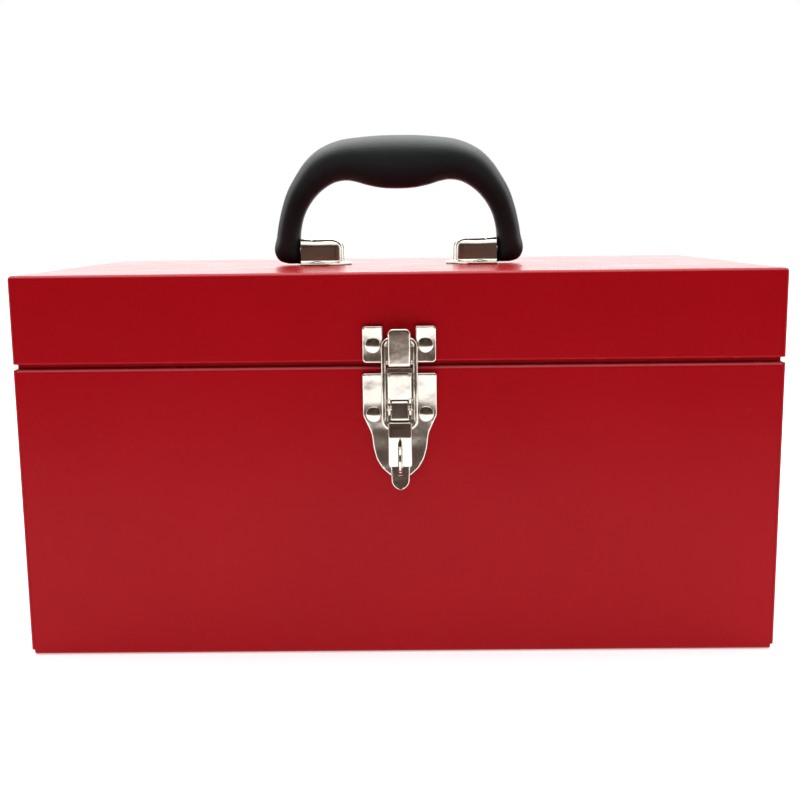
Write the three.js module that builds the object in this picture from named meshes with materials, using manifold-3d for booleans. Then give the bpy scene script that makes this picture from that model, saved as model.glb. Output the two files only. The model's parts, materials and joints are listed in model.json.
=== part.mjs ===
// A small folded-steel toolbox: riveted draw latch, swinging carrying handle, lid on two rear
// hinges and a lift-out tray. Millimetres, +X right, +Y back, +Z up. The origin is the centre of
// the bottom face, and the latch is on the -Y face.
import * as THREE from 'three';
import { mergeVertices } from 'three/addons/utils/BufferGeometryUtils.js';
import Module from 'manifold-3d';

const wasm = await Module();
wasm.setup();

// ---- driving dimensions -------------------------------------------------------------------
const WIDTH = 360;
const DEPTH = 210;
const LID_TOP = 183.3;
const LID_EDGE = 141.9; // lowest edge of the lid's skirt
const BODY_EDGE = 139.7; // top of the body's rim shelf
const SHEET = 0.9;
const GAP = 0.3; // play between pieces that touch
const RIM_STEP = 3; // how far the rim steps in to pass inside the lid
const LIP_TOP = 146;
const FLANGE = 12; // side flanges at the corners
const END_INSET = 1.2; // end panels sit this far inside the flanges' outer faces

const HINGE_X = 110;
const HINGE_WIDTH = 44;
const HINGE_Z = 141;
const LEAF = 1.2;
const BARREL_RADIUS = 3;
const LID_OPENS = 105; // degrees

const LATCH_X = 0.6;
const PLATE = 1.2; // thickness of the latch's plates
const PIVOT = { out: 5, z: 120.7 }; // lever pin, measured out from the front face
const BAIL_PIVOT = { out: 3.5, z: 111.4 };
const BAIL_TOP_Z = 152.6;
const BAIL_WIRE = 1.2; // radius
const RIVET_X = 12.1;

const HANDLE_Z = 191; // handle pivot
const CORE_RADIUS = 2.6;
const BRACKET = { inner: 30, outer: 53.5, height: 14.2, half: 7, flange: 24 };

const TRAY = { x: 172.5, y: 98, floor: 96.35, top: 139 };
const LEDGE_Z = 95.15;
const STRAP = { top: 164.3, half: 10, thickness: 1.4 };

// ---- edges that follow from them ----------------------------------------------------------
const HALF_W = WIDTH / 2;
const HALF_D = DEPTH / 2;
const MID = SHEET / 2;
const WALL_Y = HALF_D - MID; // mid-plane of the front and back sheets
const LIP_Y = HALF_D - RIM_STEP - MID;
const END_X = HALF_W - END_INSET - MID; // mid-plane of the end panels
const END_LIP_X = END_X - 2.8;
const HEM = 1.3; // spacing of a hem's two layers
const HINGE_Y = HALF_D + GAP + BARREL_RADIUS;

// ---- materials ----------------------------------------------------------------------------
const redPaint = { color: 0x98141b, roughness: 0.32, metalness: 0.1 };
const nickel = { color: 0xc9c2b4, roughness: 0.22, metalness: 1 };
const blackPlastic = { color: 0x1d1d1f, roughness: 0.55, metalness: 0 };
const zinc = { color: 0xb4b6b8, roughness: 0.4, metalness: 1 };

// ---- helpers: outlines --------------------------------------------------------------------
// Outline of a bent strip. Corners are [u, v, inside bend radius] along the strip's mid-line.
function bentSheet(corners, thickness = SHEET) {
  const points = corners.map(([u, v]) => new THREE.Vector2(u, v));
  const line = [];
  const add = (point, angle) => {
    const last = line.at(-1);
    if (!last || last.point.distanceTo(point) > 1e-4) line.push({ point, angle });
  };
  const heading = (i) => points[i + 1].clone().sub(points[i]).angle();
  add(points[0], heading(0));
  for (let i = 1; i < points.length - 1; i += 1) {
    const radius = (corners[i][2] ?? 0.8) + thickness / 2;
    const start = heading(i - 1);
    let turn = heading(i) - start;
    if (turn > Math.PI) turn -= 2 * Math.PI;
    if (turn < -Math.PI) turn += 2 * Math.PI;
    const side = Math.sign(turn);
    const setback = radius * Math.tan(Math.abs(turn) / 2);
    const into = new THREE.Vector2(Math.cos(start), Math.sin(start));
    const from = points[i].clone().addScaledVector(into, -setback);
    const centre = from.clone().add(new THREE.Vector2(-into.y, into.x).multiplyScalar(side * radius));
    const stepAngle = radius < 1 ? Math.PI / 6 : Math.PI / 10;
    const steps = Math.ceil(Math.abs(turn) / stepAngle);
    for (let k = 0; k <= steps; k += 1) {
      const angle = start + (turn * k) / steps;
      const arm = new THREE.Vector2(Math.sin(angle), -Math.cos(angle)).multiplyScalar(side * radius);
      add(centre.clone().add(arm), angle);
    }
  }
  add(points.at(-1), heading(points.length - 2));
  const offset = (distance) => ({ point, angle }) =>
    new THREE.Vector2(point.x - Math.sin(angle) * distance, point.y + Math.cos(angle) * distance);
  const left = line.map(offset(thickness / 2));
  const right = line.map(offset(-thickness / 2));
  return new THREE.Shape([...left, ...right.reverse()]);
}

// Polygon with rounded corners. Corners are [u, v, radius].
function roundedOutline(corners) {
  const shape = new THREE.Shape();
  const at = (i) => new THREE.Vector2(...corners[(i + corners.length) % corners.length]);
  corners.forEach(([, , radius = 0], i) => {
    const corner = at(i);
    const toBack = at(i - 1).sub(corner).normalize();
    const toNext = at(i + 1).sub(corner).normalize();
    const half = Math.acos(THREE.MathUtils.clamp(toBack.dot(toNext), -1, 1)) / 2;
    const setback = radius / Math.tan(half);
    const from = corner.clone().addScaledVector(toBack, setback);
    const to = corner.clone().addScaledVector(toNext, setback);
    if (i === 0) shape.moveTo(from.x, from.y);
    else shape.lineTo(from.x, from.y);
    if (radius > 0) shape.quadraticCurveTo(corner.x, corner.y, to.x, to.y);
  });
  shape.closePath();
  return shape;
}

// ---- helpers: solids ----------------------------------------------------------------------
const X = new THREE.Vector3(1, 0, 0);
const Y = new THREE.Vector3(0, 1, 0);
const Z = new THREE.Vector3(0, 0, 1);

// Extrudes an outline along an axis: (y, z) along x, (x, z) along y, (x, y) along z.
function extrude(shape, axis, from, to, curveSegments = 5) {
  const geometry = new THREE.ExtrudeGeometry(shape, {
    depth: to - from,
    bevelEnabled: false,
    steps: 1,
    curveSegments,
  });
  const turn = new THREE.Matrix4();
  if (axis === 'x') turn.makeBasis(Y, Z, X).setPosition(from, 0, 0);
  if (axis === 'y') turn.makeBasis(X, Z, Y.clone().negate()).setPosition(0, to, 0);
  if (axis === 'z') turn.setPosition(0, 0, from);
  return solid(geometry.applyMatrix4(turn));
}

function solid(geometry) {
  const bare = new THREE.BufferGeometry();
  bare.setAttribute('position', geometry.getAttribute('position'));
  bare.setIndex(geometry.getIndex());
  const merged = mergeVertices(bare, 1e-4);
  return new wasm.Manifold(
    new wasm.Mesh({
      numProp: 3,
      vertProperties: new Float32Array(merged.getAttribute('position').array),
      triVerts: new Uint32Array(merged.getIndex().array),
    }),
  );
}

const join = (first, ...rest) => rest.reduce((all, next) => all.add(next), first);
const cut = (first, ...rest) => rest.reduce((all, next) => all.subtract(next), first);

function box(x0, x1, y0, y1, z0, z1) {
  const geometry = new THREE.BoxGeometry(x1 - x0, y1 - y0, z1 - z0);
  return solid(geometry.translate((x0 + x1) / 2, (y0 + y1) / 2, (z0 + z1) / 2));
}

function rod(axis, centre, radius, length, sides = 10) {
  const geometry = new THREE.CylinderGeometry(radius, radius, length, sides);
  if (axis === 'x') geometry.rotateZ(Math.PI / 2);
  if (axis === 'z') geometry.rotateX(Math.PI / 2);
  return solid(geometry.translate(...centre));
}

// A round bar along a curve, closed at both ends.
function bar(curve, radius, steps, quarterSteps = 5) {
  const section = new THREE.Shape();
  section.absarc(0, 0, radius, 0, 2 * Math.PI);
  return solid(
    new THREE.ExtrudeGeometry(section, { extrudePath: curve, steps, curveSegments: quarterSteps }),
  );
}

const toolbox = new THREE.Group();

function addPiece(name, shape, finish, parent = toolbox) {
  let geometry = shape;
  if (!shape.isBufferGeometry) {
    const { vertProperties, triVerts } = shape.getMesh();
    geometry = new THREE.BufferGeometry();
    geometry.setAttribute('position', new THREE.BufferAttribute(vertProperties, 3));
    geometry.setIndex(new THREE.BufferAttribute(triVerts, 1));
    geometry.computeVertexNormals();
  }
  const mesh = new THREE.Mesh(geometry, new THREE.MeshStandardMaterial(finish));
  mesh.name = name;
  parent.add(mesh);
  return mesh;
}

// A domed rivet, head towards +Y: the grip is what it clamps, and the tail is peened over.
const RIVET = { head: 3.2, dome: 1.9, shank: 1.5, tail: 2.5, tailHeight: 0.9, hole: 1.65, seat: 0.1 };
function addRivet(name, place, axis, grip, finish = nickel) {
  const dome = [0, 1, 2].map((k) => {
    const angle = (Math.PI / 2) * (1 - k / 3);
    return new THREE.Vector2(RIVET.head * Math.cos(angle), 0.3 + (RIVET.dome - 0.3) * Math.sin(angle));
  });
  dome[0].x = 0;
  const bottom = -grip - 2 * RIVET.seat;
  const profile = [
    new THREE.Vector2(0, bottom - RIVET.tailHeight),
    new THREE.Vector2(RIVET.tail * 0.7, bottom - RIVET.tailHeight),
    new THREE.Vector2(RIVET.tail, bottom),
    new THREE.Vector2(RIVET.shank, bottom),
    new THREE.Vector2(RIVET.shank, 0),
    new THREE.Vector2(RIVET.head, 0),
    new THREE.Vector2(RIVET.head, 0.3),
    ...dome.reverse(),
  ];
  const geometry = new THREE.LatheGeometry(profile, 10);
  const mesh = addPiece(name, solid(geometry), finish);
  mesh.quaternion.setFromUnitVectors(Y, axis);
  mesh.position.copy(place).addScaledVector(axis, RIVET.seat);
  return mesh;
}

const FRONT = Y.clone().negate();
const BACK = Y;
const SIDES = [
  ['left', -1],
  ['right', 1],
];

// Hole for a rivet's shank, along y or z.
const rivetHole = (axis, x, y, z, length = 8) => rod(axis, [x, y, z], RIVET.hole, length);

// ---- body ---------------------------------------------------------------------------------
const BASE_RIVET_Z = 117.4;
const STRIKE_RIVET_Z = 149.8;
const LEAF_RIVET_DX = 13;
const BODY_LEAF_RIVET_Z = 126;
const LID_LEAF_RIVET_Z = 154.5;
const hingeRivetXs = SIDES.flatMap(([, side]) => [-1, 1].map((k) => side * HINGE_X + k * LEAF_RIVET_DX));

// Vertical corner: a narrow piece of the front or back sheet turned 90 degrees round the side.
function cornerFlange(sideX, sideY, startX, z0, z1) {
  const outerX = sideX * (HALF_W - MID);
  const corner = bentSheet([
    [sideX * startX, sideY * WALL_Y],
    [outerX, sideY * WALL_Y, 0.7],
    [outerX, sideY * (HALF_D - FLANGE)],
  ]);
  return extrude(corner, 'z', z0, z1);
}

const eachCorner = (make) => SIDES.flatMap(([, x]) => SIDES.map(([, y]) => make(x, y)));

function bodyShell() {
  const wall = bentSheet([
    [-LIP_Y, LIP_TOP],
    [-LIP_Y, BODY_EDGE - MID, 0.4],
    [-WALL_Y, BODY_EDGE - MID, 0.8],
    [-WALL_Y, MID, 2.1],
    [WALL_Y, MID, 2.1],
    [WALL_Y, BODY_EDGE - MID, 0.8],
    [LIP_Y, BODY_EDGE - MID, 0.4],
    [LIP_Y, LIP_TOP],
  ]);
  const sheetEnd = HALF_W - 4;
  const shell = join(
    extrude(wall, 'x', -sheetEnd, sheetEnd),
    ...eachCorner((x, y) => cornerFlange(x, y, sheetEnd - 0.5, 2.2, BODY_EDGE - 0.5)),
  );
  const latchHoles = [-1, 1].map((k) => rivetHole('y', LATCH_X + k * RIVET_X, -HALF_D, BASE_RIVET_Z));
  const hingeHoles = hingeRivetXs.map((x) => rivetHole('y', x, HALF_D, BODY_LEAF_RIVET_Z));
  return cut(shell, ...latchHoles, ...hingeHoles);
}

function bodyEnd(side) {
  const foot = MID + SHEET + GAP;
  const profile = bentSheet([
    [side * (END_X - 14), foot],
    [side * END_X, foot, 0.7],
    [side * END_X, BODY_EDGE - MID, 0.8],
    [side * END_LIP_X, BODY_EDGE - MID, 0.4],
    [side * END_LIP_X, LIP_TOP],
  ]);
  const inner = LIP_Y - MID - 0.7;
  const [x0, x1] = [side * (END_X - MID), side * (END_X + MID)].sort((a, b) => a - b);
  const wing = (y0, y1) => box(x0, x1, y0, y1, foot + 2, BODY_EDGE - 2);
  const outer = HALF_D - SHEET - 0.6;
  return join(extrude(profile, 'y', -inner, inner), wing(-outer, -inner + 1), wing(inner - 1, outer));
}

function trayLedge(side) {
  const wallX = END_X - MID - GAP - MID;
  const profile = bentSheet([
    [side * wallX, LEDGE_Z - 14],
    [side * wallX, LEDGE_Z, 0.8],
    [side * (wallX - 12), LEDGE_Z],
  ]);
  return extrude(profile, 'y', -88, 88);
}

addPiece('body_shell', bodyShell(), redPaint);
for (const [name, side] of SIDES) {
  addPiece(`body_end_${name}`, bodyEnd(side), redPaint);
  addPiece(`tray_ledge_${name}`, trayLedge(side), redPaint);
}

// ---- lid ----------------------------------------------------------------------------------
const BRACKET_RIVET = { x: 44, y: 16.5 };

function lidShell() {
  const top = LID_TOP - MID;
  const skirt = bentSheet([
    [-WALL_Y + HEM, LID_EDGE + 5],
    [-WALL_Y + HEM, LID_EDGE + MID, 0.2],
    [-WALL_Y, LID_EDGE + MID, 0.2],
    [-WALL_Y, top, 0.7],
    [WALL_Y, top, 0.7],
    [WALL_Y, LID_EDGE + MID, 0.2],
    [WALL_Y - HEM, LID_EDGE + MID, 0.2],
    [WALL_Y - HEM, LID_EDGE + 5],
  ]);
  const bend = 0.7 + SHEET;
  const sideFlange = (side) => bentSheet([
    [side * (HALF_W - 6), top],
    [side * (HALF_W - MID), top, 0.7],
    [side * (HALF_W - MID), LID_TOP - FLANGE],
  ]);
  const cornerBall = (x, y) => {
    const ball = new THREE.SphereGeometry(bend, 12, 8);
    return solid(ball.translate(x * (HALF_W - bend), y * (HALF_D - bend), LID_TOP - bend));
  };
  const shell = join(
    extrude(skirt, 'x', -HALF_W + bend, HALF_W - bend),
    ...SIDES.map(([, side]) => extrude(sideFlange(side), 'y', -HALF_D + bend, HALF_D - bend)),
    ...eachCorner((x, y) => cornerFlange(x, y, HALF_W - bend - 0.3, LID_EDGE + 0.3, LID_TOP - bend)),
    ...eachCorner(cornerBall),
  );
  const strikeHoles = [-1, 1].map((k) => rivetHole('y', LATCH_X + k * RIVET_X, -HALF_D, STRIKE_RIVET_Z, 6));
  const hingeHoles = hingeRivetXs.map((x) => rivetHole('y', x, HALF_D, LID_LEAF_RIVET_Z, 6));
  const bracketHoles = eachCorner((x, y) =>
    rivetHole('z', x * BRACKET_RIVET.x, y * BRACKET_RIVET.y, LID_TOP, 6));
  return cut(shell, ...strikeHoles, ...hingeHoles, ...bracketHoles);
}

function lidEnd(side) {
  const profile = bentSheet([
    [side * (END_X - 13), LID_TOP - SHEET - GAP - MID],
    [side * END_X, LID_TOP - SHEET - GAP - MID, 0.7],
    [side * END_X, LID_EDGE + MID, 0.2],
    [side * (END_X - HEM), LID_EDGE + MID, 0.2],
    [side * (END_X - HEM), LID_EDGE + 5],
  ]);
  const half = WALL_Y - HEM - MID - 1.2; // clears the skirt's hem and the corner welds
  return extrude(profile, 'y', -half, half);
}

addPiece('lid_shell', lidShell(), redPaint);
for (const [name, side] of SIDES) addPiece(`lid_end_${name}`, lidEnd(side), redPaint);

// ---- hinges -------------------------------------------------------------------------------
const KNUCKLES = 5;
const KNUCKLE = HINGE_WIDTH / KNUCKLES;
const LEAF_Y0 = HALF_D + GAP;

function hingeLeaf(owner, z0, z1, clear) {
  const tabs = [];
  for (let k = 0; k < KNUCKLES; k += 1) {
    if (k % 2 !== owner) continue;
    const x0 = -HINGE_WIDTH / 2 + k * KNUCKLE + 0.1;
    const x1 = x0 + KNUCKLE - 0.2;
    const edge = clear > 0 ? z0 : z1;
    tabs.push(box(x0, x1, LEAF_Y0, LEAF_Y0 + LEAF, Math.min(edge, HINGE_Z), Math.max(edge, HINGE_Z)));
    tabs.push(rod('x', [(x0 + x1) / 2, HINGE_Y, HINGE_Z], BARREL_RADIUS, x1 - x0, 20));
    if (owner === 1) tabs.push(stopTab(x0, x1));
  }
  const plate = roundedOutline([
    [-HINGE_WIDTH / 2, z0, clear > 0 ? 0 : 3],
    [HINGE_WIDTH / 2, z0, clear > 0 ? 0 : 3],
    [HINGE_WIDTH / 2, z1, clear > 0 ? 3 : 0],
    [-HINGE_WIDTH / 2, z1, clear > 0 ? 3 : 0],
  ]);
  const rivetZ = clear > 0 ? LID_LEAF_RIVET_Z : BODY_LEAF_RIVET_Z;
  return cut(
    join(extrude(plate, 'y', LEAF_Y0, LEAF_Y0 + LEAF), ...tabs),
    rod('x', [0, HINGE_Y, HINGE_Z], 1.6, HINGE_WIDTH + 4, 16),
    rivetHole('y', -LEAF_RIVET_DX, HALF_D, rivetZ),
    rivetHole('y', LEAF_RIVET_DX, HALF_D, rivetZ),
  );
}

// A tab on the lid's knuckles that meets the body leaf when the lid is fully open.
function stopTab(x0, x1) {
  const open = THREE.MathUtils.degToRad(LID_OPENS);
  const reach = 6.6;
  const face = BARREL_RADIUS - LEAF - 0.2;
  const corners = [[1.9, face - 1], [1.9, face], [reach, face], [reach, face - 1]];
  const shape = new THREE.Shape(corners.map(([down, back]) => new THREE.Vector2(
    HINGE_Y + down * Math.sin(open) - back * Math.cos(open),
    HINGE_Z - down * Math.cos(open) - back * Math.sin(open),
  )));
  return extrude(shape, 'x', x0, x1);
}

const bodyLeaf = hingeLeaf(0, 117, HINGE_Z - BARREL_RADIUS - 0.4, -1);
const lidLeaf = hingeLeaf(1, HINGE_Z + BARREL_RADIUS + 0.4, 162, 1);
const hingePin = join(
  rod('x', [0, HINGE_Y, HINGE_Z], 1.5, HINGE_WIDTH + 2, 16),
  ...[-1, 1].map((k) => rod('x', [k * (HINGE_WIDTH / 2 + 0.7), HINGE_Y, HINGE_Z], 2.1, 1, 16)),
);
for (const [name, side] of SIDES) {
  const hinge = new THREE.Group();
  hinge.position.x = side * HINGE_X;
  toolbox.add(hinge);
  addPiece(`hinge_${name}_body_leaf`, bodyLeaf, nickel, hinge);
  addPiece(`hinge_${name}_lid_leaf`, lidLeaf, nickel, hinge);
  addPiece(`hinge_${name}_pin`, hingePin, zinc, hinge);
  [-1, 1].forEach((k, i) => {
    const x = side * HINGE_X + k * LEAF_RIVET_DX;
    const y = LEAF_Y0 + LEAF;
    const grip = GAP + LEAF + SHEET;
    addRivet(`hinge_${name}_body_rivet_${i + 1}`, new THREE.Vector3(x, y, BODY_LEAF_RIVET_Z), BACK, grip);
    addRivet(`hinge_${name}_lid_rivet_${i + 1}`, new THREE.Vector3(x, y, LID_LEAF_RIVET_Z), BACK, grip);
  });
}

// ---- draw latch ---------------------------------------------------------------------------
// The latch is drawn about its own middle: u runs along x, "out" is the distance in front of
// the box's front face.
const latch = new THREE.Group();
latch.position.x = LATCH_X;
toolbox.add(latch);
const PLATE_BACK = GAP;
const PLATE_FACE = GAP + PLATE;
const out = (distance) => -HALF_D - distance;

// (out, z) outline extruded along x.
function sideOutline(corners, x0, x1) {
  return extrude(roundedOutline(corners.map(([o, z, r]) => [out(o), z, r])), 'x', x0, x1);
}

function plateOutline(corners, o0 = PLATE_BACK, o1 = PLATE_FACE) {
  return extrude(roundedOutline(corners), 'y', out(o1), out(o0));
}

const mirrored = (half) => [...half, ...half.map(([x, ...rest]) => [-x, ...rest]).reverse()];

const EAR = { inner: 4.3, outer: 5.3 };
function latchBase() {
  const plate = plateOutline(mirrored([
    [17.2, 136.7, 1.5],
    [17.2, 116.9, 3],
    [13.3, 108.2, 5],
    [12.5, 101.2, 5],
    [11, 96, 4],
    [8.5, 91.8, 3],
    [4.8, 88.2, 2],
  ]));
  const window = box(-EAR.inner, EAR.inner, out(3), out(-1), 118, 140);
  const channel = bentSheet([
    [-EAR.outer + 0.5, out(0.9)],
    [-EAR.outer + 0.5, out(4.9), 0.5],
    [EAR.outer - 0.5, out(4.9), 0.5],
    [EAR.outer - 0.5, out(0.9)],
  ], 1);
  const ear = [
    [0.8, 115.4],
    [3.2, 115.4, 0.8],
    [7.4, 118.2, 2.4],
    [7.4, 123.2, 1.6],
    [5.4, 124.8],
    [0.8, 124.8],
  ];
  const ears = [
    sideOutline(ear, -EAR.outer, -EAR.inner),
    sideOutline(ear, EAR.inner, EAR.outer),
  ];
  return cut(
    join(cut(plate, window), extrude(channel, 'z', 124.4, 136.5), ...ears),
    rod('x', [0, out(PIVOT.out), PIVOT.z], 1.5, 20, 16),
    ...[-1, 1].map((k) => rivetHole('y', k * RIVET_X, out(0), BASE_RIVET_Z)),
  );
}

function latchStrike() {
  const plate = plateOutline(mirrored([
    [7.6, 149.6, 1],
    [7.9, 158.6, 0.6],
    [17, 158.6, 1.6],
    [17, 141.5, 2],
  ]));
  const window = box(-4, 4, out(3), out(-1), 140, 151.1);
  const hump = bentSheet([
    [-4.5, out(0.9)],
    [-4.5, out(6.7), 0.5],
    [4.5, out(6.7), 0.5],
    [4.5, out(0.9)],
  ], 1);
  const tongue = plateOutline([
    [-5, 145],
    [5, 145],
    [5, 157.7, 2],
    [-5, 157.7, 2],
  ], 6.2, 7.2);
  return cut(
    join(cut(plate, window), extrude(hump, 'z', 140.3, 151.1), tongue),
    ...[-1, 1].map((k) => rivetHole('y', k * RIVET_X, out(0), STRIKE_RIVET_Z)),
  );
}

const STAPLE = { out: 11.2, z: 97.9, eye: 3.2, half: 0.6 };
function padlockStaple() {
  const outline = [
    [PLATE_FACE + 0.1, STAPLE.z - 6.35],
    [STAPLE.out + 6.3, STAPLE.z - 6.35, 5.6],
    [STAPLE.out + 6.3, STAPLE.z + 6.35, 5.6],
    [PLATE_FACE + 0.1, STAPLE.z + 6.35],
  ];
  const blade = sideOutline(outline, -STAPLE.half, STAPLE.half);
  const foot = box(-STAPLE.half, 3.6, out(PLATE_FACE + 1.1), out(PLATE_FACE + 0.1),
    STAPLE.z - 6.35, STAPLE.z + 6.35);
  return cut(join(blade, foot), rod('x', [0, out(STAPLE.out + 0.8), STAPLE.z], STAPLE.eye, 8, 16));
}

const LEVER_SLOT = 1.05; // half width
function latchLever() {
  const inner = PLATE_FACE + 0.7;
  const nose = sideOutline([
    [2.1, 117.6],
    [2.1, 121.4, 1.8],
    [3.6, 123.8, 1.8],
    [6.4, 123.8, 1.8],
    [7.3, 119, 1],
    [7.3, 112],
    [inner, 112],
  ], -3.9, 3.9);
  const channel = sideOutline([
    [inner, 114.9, 0.5],
    [6.5, 114.9, 0.6],
    [8.6, 107.4, 0.5],
    [6.9, 93, 0.5],
    [5.2, 93, 0.5],
    [inner, 104, 2],
  ], -5.5, 5.5);
  const hollow = sideOutline([
    [1, 114],
    [5.5, 114, 0.4],
    [7.6, 107.4, 0.5],
    [6, 94.2],
    [1, 94.2],
  ], -4.6, 4.6);
  const fingertip = extrude(
    roundedOutline(mirrored([[4.4, 94.5], [4.4, 82.3, 4.2]])), 'y', out(7), out(5.9));
  const slot = roundedOutline([
    [0, 107.2],
    [-LEVER_SLOT, 104.6],
    [-LEVER_SLOT, 88, 0.4],
    [LEVER_SLOT, 88, 0.4],
    [LEVER_SLOT, 104.6],
  ]);
  const upperHollow = sideOutline([[1, 112.5], [6.1, 112.5], [6.1, 116.4], [1, 116.4]], -3, 3);
  return cut(
    join(nose, cut(channel, hollow), fingertip),
    upperHollow,
    extrude(slot, 'y', out(12), out(1)),
    rod('x', [0, out(PIVOT.out), PIVOT.z], 1.5, 20, 16),
    rod('x', [0, out(BAIL_PIVOT.out), BAIL_PIVOT.z], BAIL_WIRE + 0.15, 20, 16),
  );
}

// A closed loop of wire but for its two lower ends, which turn in to pivot in the lever's sides.
function latchBail() {
  const half = 7.45;
  const corner = 3.2;
  const bendIn = 1.9;
  const lower = BAIL_PIVOT;
  const point = (x, z) => new THREE.Vector3(x, out(THREE.MathUtils.mapLinear(
    z, lower.z, BAIL_TOP_Z, lower.out, 3.4)), z);
  const path = new THREE.CurvePath();
  const line = (a, b) => path.add(new THREE.LineCurve3(a, b));
  const turn = (a, b, c) => path.add(new THREE.QuadraticBezierCurve3(a, b, c));
  for (const side of [-1, 1]) {
    const end = point(side * 4, lower.z);
    const footIn = point(side * (half - bendIn), lower.z);
    const footUp = point(side * half, lower.z + bendIn);
    const headUp = point(side * half, BAIL_TOP_Z - corner);
    const headIn = point(side * (half - corner), BAIL_TOP_Z);
    if (side < 0) {
      line(end, footIn);
      turn(footIn, point(side * half, lower.z), footUp);
      line(footUp, headUp);
      turn(headUp, point(side * half, BAIL_TOP_Z), headIn);
      line(headIn, point(half - corner, BAIL_TOP_Z));
    } else {
      turn(headIn, point(side * half, BAIL_TOP_Z), headUp);
      line(headUp, footUp);
      turn(footUp, point(side * half, lower.z), footIn);
      line(footIn, end);
    }
  }
  return bar(path, BAIL_WIRE, 60);
}

addPiece('latch_base', latchBase(), nickel, latch);
addPiece('latch_strike', latchStrike(), nickel, latch);
addPiece('padlock_staple', padlockStaple(), nickel, latch);
addPiece('latch_lever', latchLever(), nickel, latch);
addPiece('latch_bail', latchBail(), nickel, latch);
addPiece('latch_pivot_pin', rod('x', [0, out(PIVOT.out), PIVOT.z], 1.35, 11.6, 14), nickel, latch);
for (const [name, side] of SIDES) {
  const x = LATCH_X + side * RIVET_X;
  const grip = PLATE_FACE + SHEET;
  addRivet(`latch_base_rivet_${name}`, new THREE.Vector3(x, out(PLATE_FACE), BASE_RIVET_Z), FRONT, grip);
  addRivet(`latch_strike_rivet_${name}`, new THREE.Vector3(x, out(PLATE_FACE), STRIKE_RIVET_Z), FRONT, grip);
}

// ---- carrying handle ----------------------------------------------------------------------
// Stations from the foot of the leg to the middle of the grip: outer edge [x, z], inner edge
// [x, z] and half thickness front to back.
const GRIP_STATIONS = [
  [[62.4, 184.3], [54, 184.3], 2.2],
  [[67.4, 187.4], [54, 187.4], 6],
  [[68.4, 193], [54, 193], 7],
  [[66, 205], [53.4, 203], 7.6],
  [[60.8, 223], [48.8, 215.5], 9.4],
  [[50.7, 239], [39.6, 225.1], 11],
  [[37, 248.6], [28.3, 228.8], 11.8],
  [[18, 252.1], [15, 225.7], 11.9],
  [[0, 252.8], [0, 224.2], 11.9],
];

function handleGrip() {
  const both = [
    ...GRIP_STATIONS.map(([[ox, oz], [ix, iz], half]) => [[-ox, oz], [-ix, iz], half]),
    ...GRIP_STATIONS.slice(0, -1).reverse(),
  ];
  const spline = (pick) => new THREE.CatmullRomCurve3(
    both.map((station) => new THREE.Vector3(...pick(station))), false, 'catmullrom', 0.5);
  const outer = spline(([[x, z]]) => [x, 0, z]);
  const inner = spline(([, [x, z]]) => [x, 0, z]);
  const half = spline(([, , y]) => [y, 0, 0]);
  const geometry = new THREE.CylinderGeometry(1, 1, 1, 16, 40);
  const position = geometry.getAttribute('position');
  const soften = (value) => Math.sign(value) * Math.abs(value) ** 0.85;
  for (let i = 0; i < position.count; i += 1) {
    const t = THREE.MathUtils.clamp(position.getY(i) + 0.5, 0, 1);
    const [a, b] = [outer.getPoint(t), inner.getPoint(t)];
    const across = soften(position.getX(i));
    const middle = a.clone().add(b).multiplyScalar(0.5);
    const point = middle.addScaledVector(a.sub(b), across / 2);
    position.setXYZ(i, point.x, soften(position.getZ(i)) * half.getPoint(t).x, point.z);
  }
  return solid(geometry);
}

// Mid-line of the steel bar: out of one bracket, up a leg, through the grip and back down.
function corePath(reach) {
  const leg = 61;
  const path = new THREE.CurvePath();
  const at = (x, z) => new THREE.Vector3(x, 0, z);
  const rise = 6;
  path.add(new THREE.LineCurve3(at(-reach, HANDLE_Z), at(-leg + rise, HANDLE_Z)));
  path.add(new THREE.QuadraticBezierCurve3(
    at(-leg + rise, HANDLE_Z), at(-leg, HANDLE_Z), at(-leg, HANDLE_Z + rise)));
  path.add(new THREE.CubicBezierCurve3(
    at(-leg, HANDLE_Z + rise), at(-leg + 1, 222), at(-50, 238), at(-30, 239)));
  path.add(new THREE.LineCurve3(at(-30, 239), at(30, 239)));
  path.add(new THREE.CubicBezierCurve3(
    at(30, 239), at(50, 238), at(leg - 1, 222), at(leg, HANDLE_Z + rise)));
  path.add(new THREE.QuadraticBezierCurve3(
    at(leg, HANDLE_Z + rise), at(leg, HANDLE_Z), at(leg - rise, HANDLE_Z)));
  path.add(new THREE.LineCurve3(at(leg - rise, HANDLE_Z), at(reach, HANDLE_Z)));
  return path;
}

const grip = handleGrip();
const gripBore = bar(corePath(52), CORE_RADIUS + 0.25, 44);
addPiece('handle_grip', cut(grip, gripBore), blackPlastic);
addPiece('handle_core', bar(corePath(33.5), CORE_RADIUS, 52), nickel);

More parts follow.
